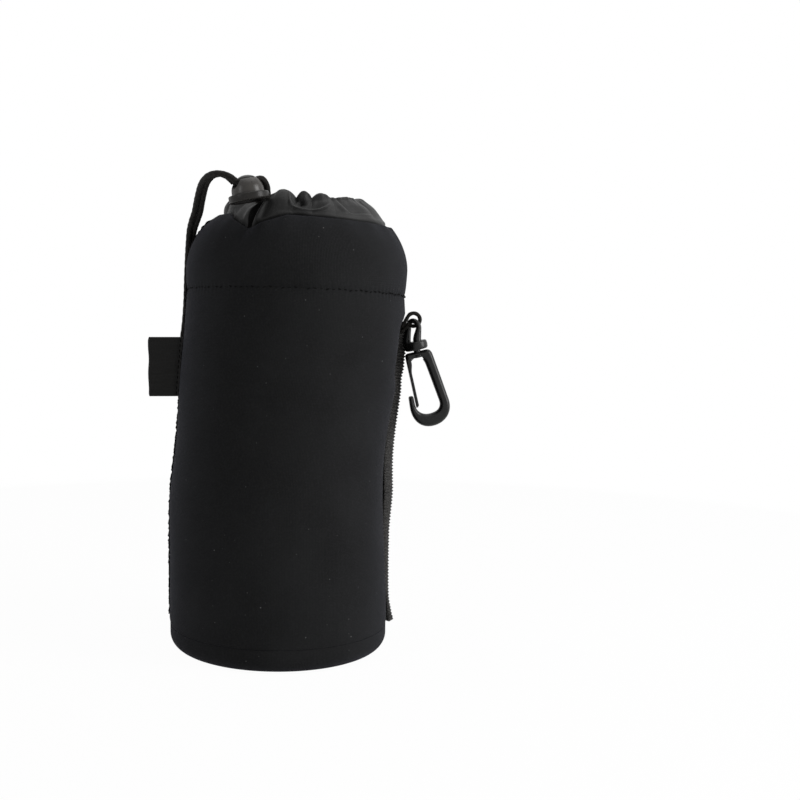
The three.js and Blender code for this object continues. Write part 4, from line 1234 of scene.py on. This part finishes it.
def swivelEye():
    bar = -(hook["loopRadius"] - hook["loopCord"] / 2 - hook["bailWire"] / 2 - 0.3)
    bend, foot, top, shank = hook["bailBend"], hook["bailFoot"], hook["collarTop"], hook["shank"]
    turn = hook["bailTurn"]

    def side(across, z, shift=0.0):
        return tuple(hookMatrix @ Vector((shift + across * math.cos(turn), across * math.sin(turn), z)))

    stand = shank + hook["footShift"]
    points = [side(-foot, -top - 1, stand), side(-foot, -top + 0.6, stand)]
    for step in range(9):
        angle = math.pi * (1 - step / 8)
        height = bar - bend + bend * math.sin(angle)
        points.append(side(bend * math.cos(angle), height, hook["bailShift"]))
    points += [side(foot, -top + 0.6, stand), side(foot, -top - 1, stand)]
    line = throughPoints(points, 0.3)[0]
    # its legs grow thicker towards the collar
    low = (hookMatrix.inverted() @ Vector(points[0])).z
    depth = np.array([(hookMatrix.inverted() @ Vector(point)).z for point in line])
    wire = hook["bailWire"] / 2 * (0.92 + 0.55 * smooth(bar - 2, low + 1, depth))
    tube = tubeGrid(line, wire[:, None], 24)
    bail = closedPiece("swivelBail", tube, hookPlastic)
    headRadius, headHeight = hook["head"]
    headTop, low, high = -(hook["top"] + hook["bar"]) - 0.3, -top - hook["collarHeight"], -top
    radius, edge = hook["collarRadius"], 0.9
    headFoot = headTop - headHeight
    profile = [(0.2, headFoot), (headRadius - 0.3, headFoot), (headRadius, headFoot + 0.3),
               (headRadius, headTop), (hook["post"], headTop), (hook["post"], low)]
    profile += arc((radius - edge, low + edge), edge, -90, 0, 7) + [(radius + 0.12, (low + high) / 2)]
    profile += arc((radius - edge, high - edge), edge, 0, 90, 7) + [(0.2, high + 0.15)]
    grid = latheGrid(profile, 72, hookMatrix, (shank, 0))
    made = closedPiece("swivelEye", grid, hookPlastic)
    settle(cutBy(made, [bail], "UNION"), "swivel", "hook_plastic", "swivel_eye")


# outline as a start point, then lines (one point) and curves (control points and an end)
def outlinePoints(start, moves):
    line, here = [np.array(start, float)], np.array(start, float)
    for move in moves:
        controls = [here] + [np.array(point, float) for point in move]
        steps = 1 if len(move) == 1 else 14
        for step in range(1, steps + 1):
            share, rungs = step / steps, controls
            while len(rungs) > 1:
                rungs = [a + (b - a) * share for a, b in zip(rungs[:-1], rungs[1:])]
            line.append(rungs[0])
        here = controls[-1]
    return np.array(line)


def hookOutline():
    top, face = -hook["top"], hook["gateFace"]
    bottom, nose, inner = -(hook["top"] + hook["length"]), -31.8, face - 0.3
    root = -hook["gateTop"] + 0.3
    return outlinePoints((face, root), [
        [(face, top - 1.6)], [(face, top), (face + 1.6, top)], [(2.4, top)], [(4.4, top), (4.8, top - 2.6)],
        [(6.1, -26)], [(7.4, -36.5)], [(8.2, -42.2), (4.2, bottom), (-1.6, bottom)],
        [(-7, bottom), (-9.9, -42.5), (-9.7, -37)], [(-9.4, nose - 0.8)], [(-9.3, nose), (-8.4, nose)],
        [(inner - 0.1, nose), (inner, nose - 0.8)], [(inner, -36)], [(inner, -39), (-5, -41), (-2, -41)],
        [(1.8, -41), (3.8, -39.4), (3.2, -36)], [(2.1, -28)], [(0.95, -20)],
        [(0.6, -17.6), (-0.6, -16.4), (-2.2, -16.4)], [(-4, -16.4), (face + 1.8 * hook["gateThick"], root)],
    ])


# outline with its edges rounded over, front and back
def roundedPlate(name, line, depth, rounding, finish):
    ahead, behind = np.roll(line, -1, axis=0), np.roll(line, 1, axis=0)
    run = ahead - behind
    inward = np.stack([-run[:, 1], run[:, 0]], -1) / np.linalg.norm(run, axis=1, keepdims=True)
    area = (line[:, 0] * ahead[:, 1] - ahead[:, 0] * line[:, 1]).sum()
    if area < 0:
        inward = -inward
    # no deeper than the largest circle that fits inside the outline at each point
    reach = line[None] - line[:, None]
    facing = np.maximum((reach * inward[:, None]).sum(-1), 1e-6)
    room = 0.85 * ((reach ** 2).sum(-1) / (2 * facing) + 1e6 * (facing <= 1e-6)).min(1)
    room = np.minimum(room, rounding)[:, None]
    rows = []
    for turn in np.linspace(-90, 90, 17):
        inset = room * (1 - math.cos(math.radians(turn)))
        level = math.sin(math.radians(turn)) * depth / 2
        ring = line + inward * inset
        rows.append(np.stack([ring[:, 0], np.full(len(ring), level), ring[:, 1]], -1))
    rows = rows if area < 0 else rows[::-1]
    return closedPiece(name, moved(np.stack(rows), hookMatrix), finish)


def hookBody():
    line = hookOutline()
    closed = np.vstack([line, line[:1]])
    length = runLength(closed)
    even = np.linspace(0, length[-1], 261)[:-1]
    line = np.stack([np.interp(even, length, closed[:, axis]) for axis in range(2)], 1)
    made = roundedPlate("hookBody", line, hook["depth"], hook["round"], hookPlastic)
    headTop = -(hook["top"] + hook["bar"])
    cutters = []
    bores = [(hook["post"] + 0.3, headTop - 4, -hook["top"] + 4),
             (hook["head"][0] + 0.3, headTop - 2.6, headTop)]
    for radius, low, high in bores:
        grid = latheGrid([(radius, low), (radius, high)], 48, hookMatrix, (hook["shank"], 0))
        cutters.append(closedPiece("boreCutter", grid, hookPlastic))
    settle(cutBy(made, cutters), "hook", "hook_plastic", "hook_body")


def hookGate():
    turn = np.arange(28) / 28 * fullTurn
    corner = [np.sign(wave) * np.abs(wave) ** 0.45 for wave in (np.cos(turn), np.sin(turn))]
    tip, top = hook["gateTip"], hook["gateTop"]
    levels = np.concatenate([np.linspace(tip, tip - 1.2, 6), np.linspace(tip - 2, top + 5, 14),
                             np.linspace(top + 4, top - 1.2, 9)])
    rows = []
    for down in levels:
        blunt = float(smooth(0, 0.9, np.array(tip - down)))
        root = float(smooth(5, 0.4, np.array(down - top)))
        thick = hook["gateThick"] * min(0.6 + 0.4 * blunt + 0.7 * root, 1.7)
        wide = hook["gateDepth"] * (0.8 + 0.2 * blunt)
        x = hook["gateFace"] + thick / 2 + corner[0] * thick / 2
        rows.append(np.stack([x, corner[1] * wide / 2, np.full_like(x, -down)], -1))
    made = closedPiece("hookGate", moved(np.stack(rows), hookMatrix), hookPlastic)
    settle(made, "gate", "hook_plastic", "hook_gate")


hookLoop()
swivelEye()
hookBody()
hookGate()
print("stage: hook")

# floor, world and lamps

floorLook = {"white": (0.93, 0.93, 0.93, 1), "glow": 0.97, "size": 6.0}


def seenDirectly(tree):
    path = tree.nodes.new("ShaderNodeLightPath")
    sharp = mathNode(tree, "MAXIMUM", path.outputs["Is Glossy Ray"], path.outputs["Is Transmission Ray"])
    return mathNode(tree, "MAXIMUM", path.outputs["Is Camera Ray"], sharp)


def whiteFloor():
    material = bpy.data.materials.new("studioFloor")
    material.use_nodes = True
    tree = material.node_tree
    surface = tree.nodes["Principled BSDF"]
    surface.inputs["Base Color"].default_value = floorLook["white"]
    surface.inputs["Roughness"].default_value = 1.0
    surface.inputs["Specular IOR Level"].default_value = 0.0
    glow = tree.nodes.new("ShaderNodeEmission")
    mix = tree.nodes.new("ShaderNodeMixShader")
    place = tree.nodes.new("ShaderNodeTexCoord")
    far = vectorNode(tree, "LENGTH", place.outputs["Object"])
    away = mathNode(tree, "MAXIMUM", rampNode(tree, far.outputs["Value"], 0.12, 0.5), floorLook["glow"])
    plug(tree, mathNode(tree, "MULTIPLY", seenDirectly(tree), away), mix.inputs[0])
    plug(tree, surface.outputs[0], mix.inputs[1])
    plug(tree, glow.outputs[0], mix.inputs[2])
    plug(tree, mix.outputs[0], tree.nodes["Material Output"].inputs["Surface"])
    half = floorLook["size"] / 2
    mesh = bpy.data.meshes.new("studioFloor")
    corners = [(-half, -half, 0), (half, -half, 0), (half, half, 0), (-half, half, 0)]
    mesh.from_pydata(corners, [], [(0, 1, 2, 3)])
    mesh.materials.append(material)
    floor = bpy.data.objects.new("studioFloor", mesh)
    scene.collection.objects.link(floor)


def whiteWorld(fill):
    world = bpy.data.worlds.new("studioWorld")
    world.use_nodes = True
    tree = world.node_tree
    back = tree.nodes["Background"]
    back.inputs["Color"].default_value = (1, 1, 1, 1)
    seen = seenDirectly(tree)
    plug(tree, mathNode(tree, "MULTIPLY_ADD", seen, 1.0 - fill, fill), back.inputs["Strength"])
    scene.world = world


lamps = {
    "leftSoftbox": {"place": (-0.58, -0.42, 0.36), "size": (0.15, 0.32), "watts": 0.7},
    "rightSoftbox": {"place": (0.66, -0.26, 0.36), "size": (0.34, 0.55), "watts": 4.6},
    "overhead": {"place": (0.05, 0.05, 1.0), "size": (0.8, 0.8), "watts": 2.4},
}

lampTarget = Vector((0, 0, 0.1))


def placeLamps():
    for name, facts in lamps.items():
        data = bpy.data.lights.new(name, "AREA")
        data.shape = "RECTANGLE"
        data.size, data.size_y = facts["size"]
        data.energy = facts["watts"]
        lamp = bpy.data.objects.new(name, data)
        scene.collection.objects.link(lamp)
        lamp.location = facts["place"]
        aim = lampTarget - Vector(facts["place"])
        lamp.rotation_euler = aim.to_track_quat("-Z", "Y").to_euler()


whiteFloor()
whiteWorld(fill=0.2)
placeLamps()
scene.view_settings.view_transform = "Standard"
print("stage: floor and light")
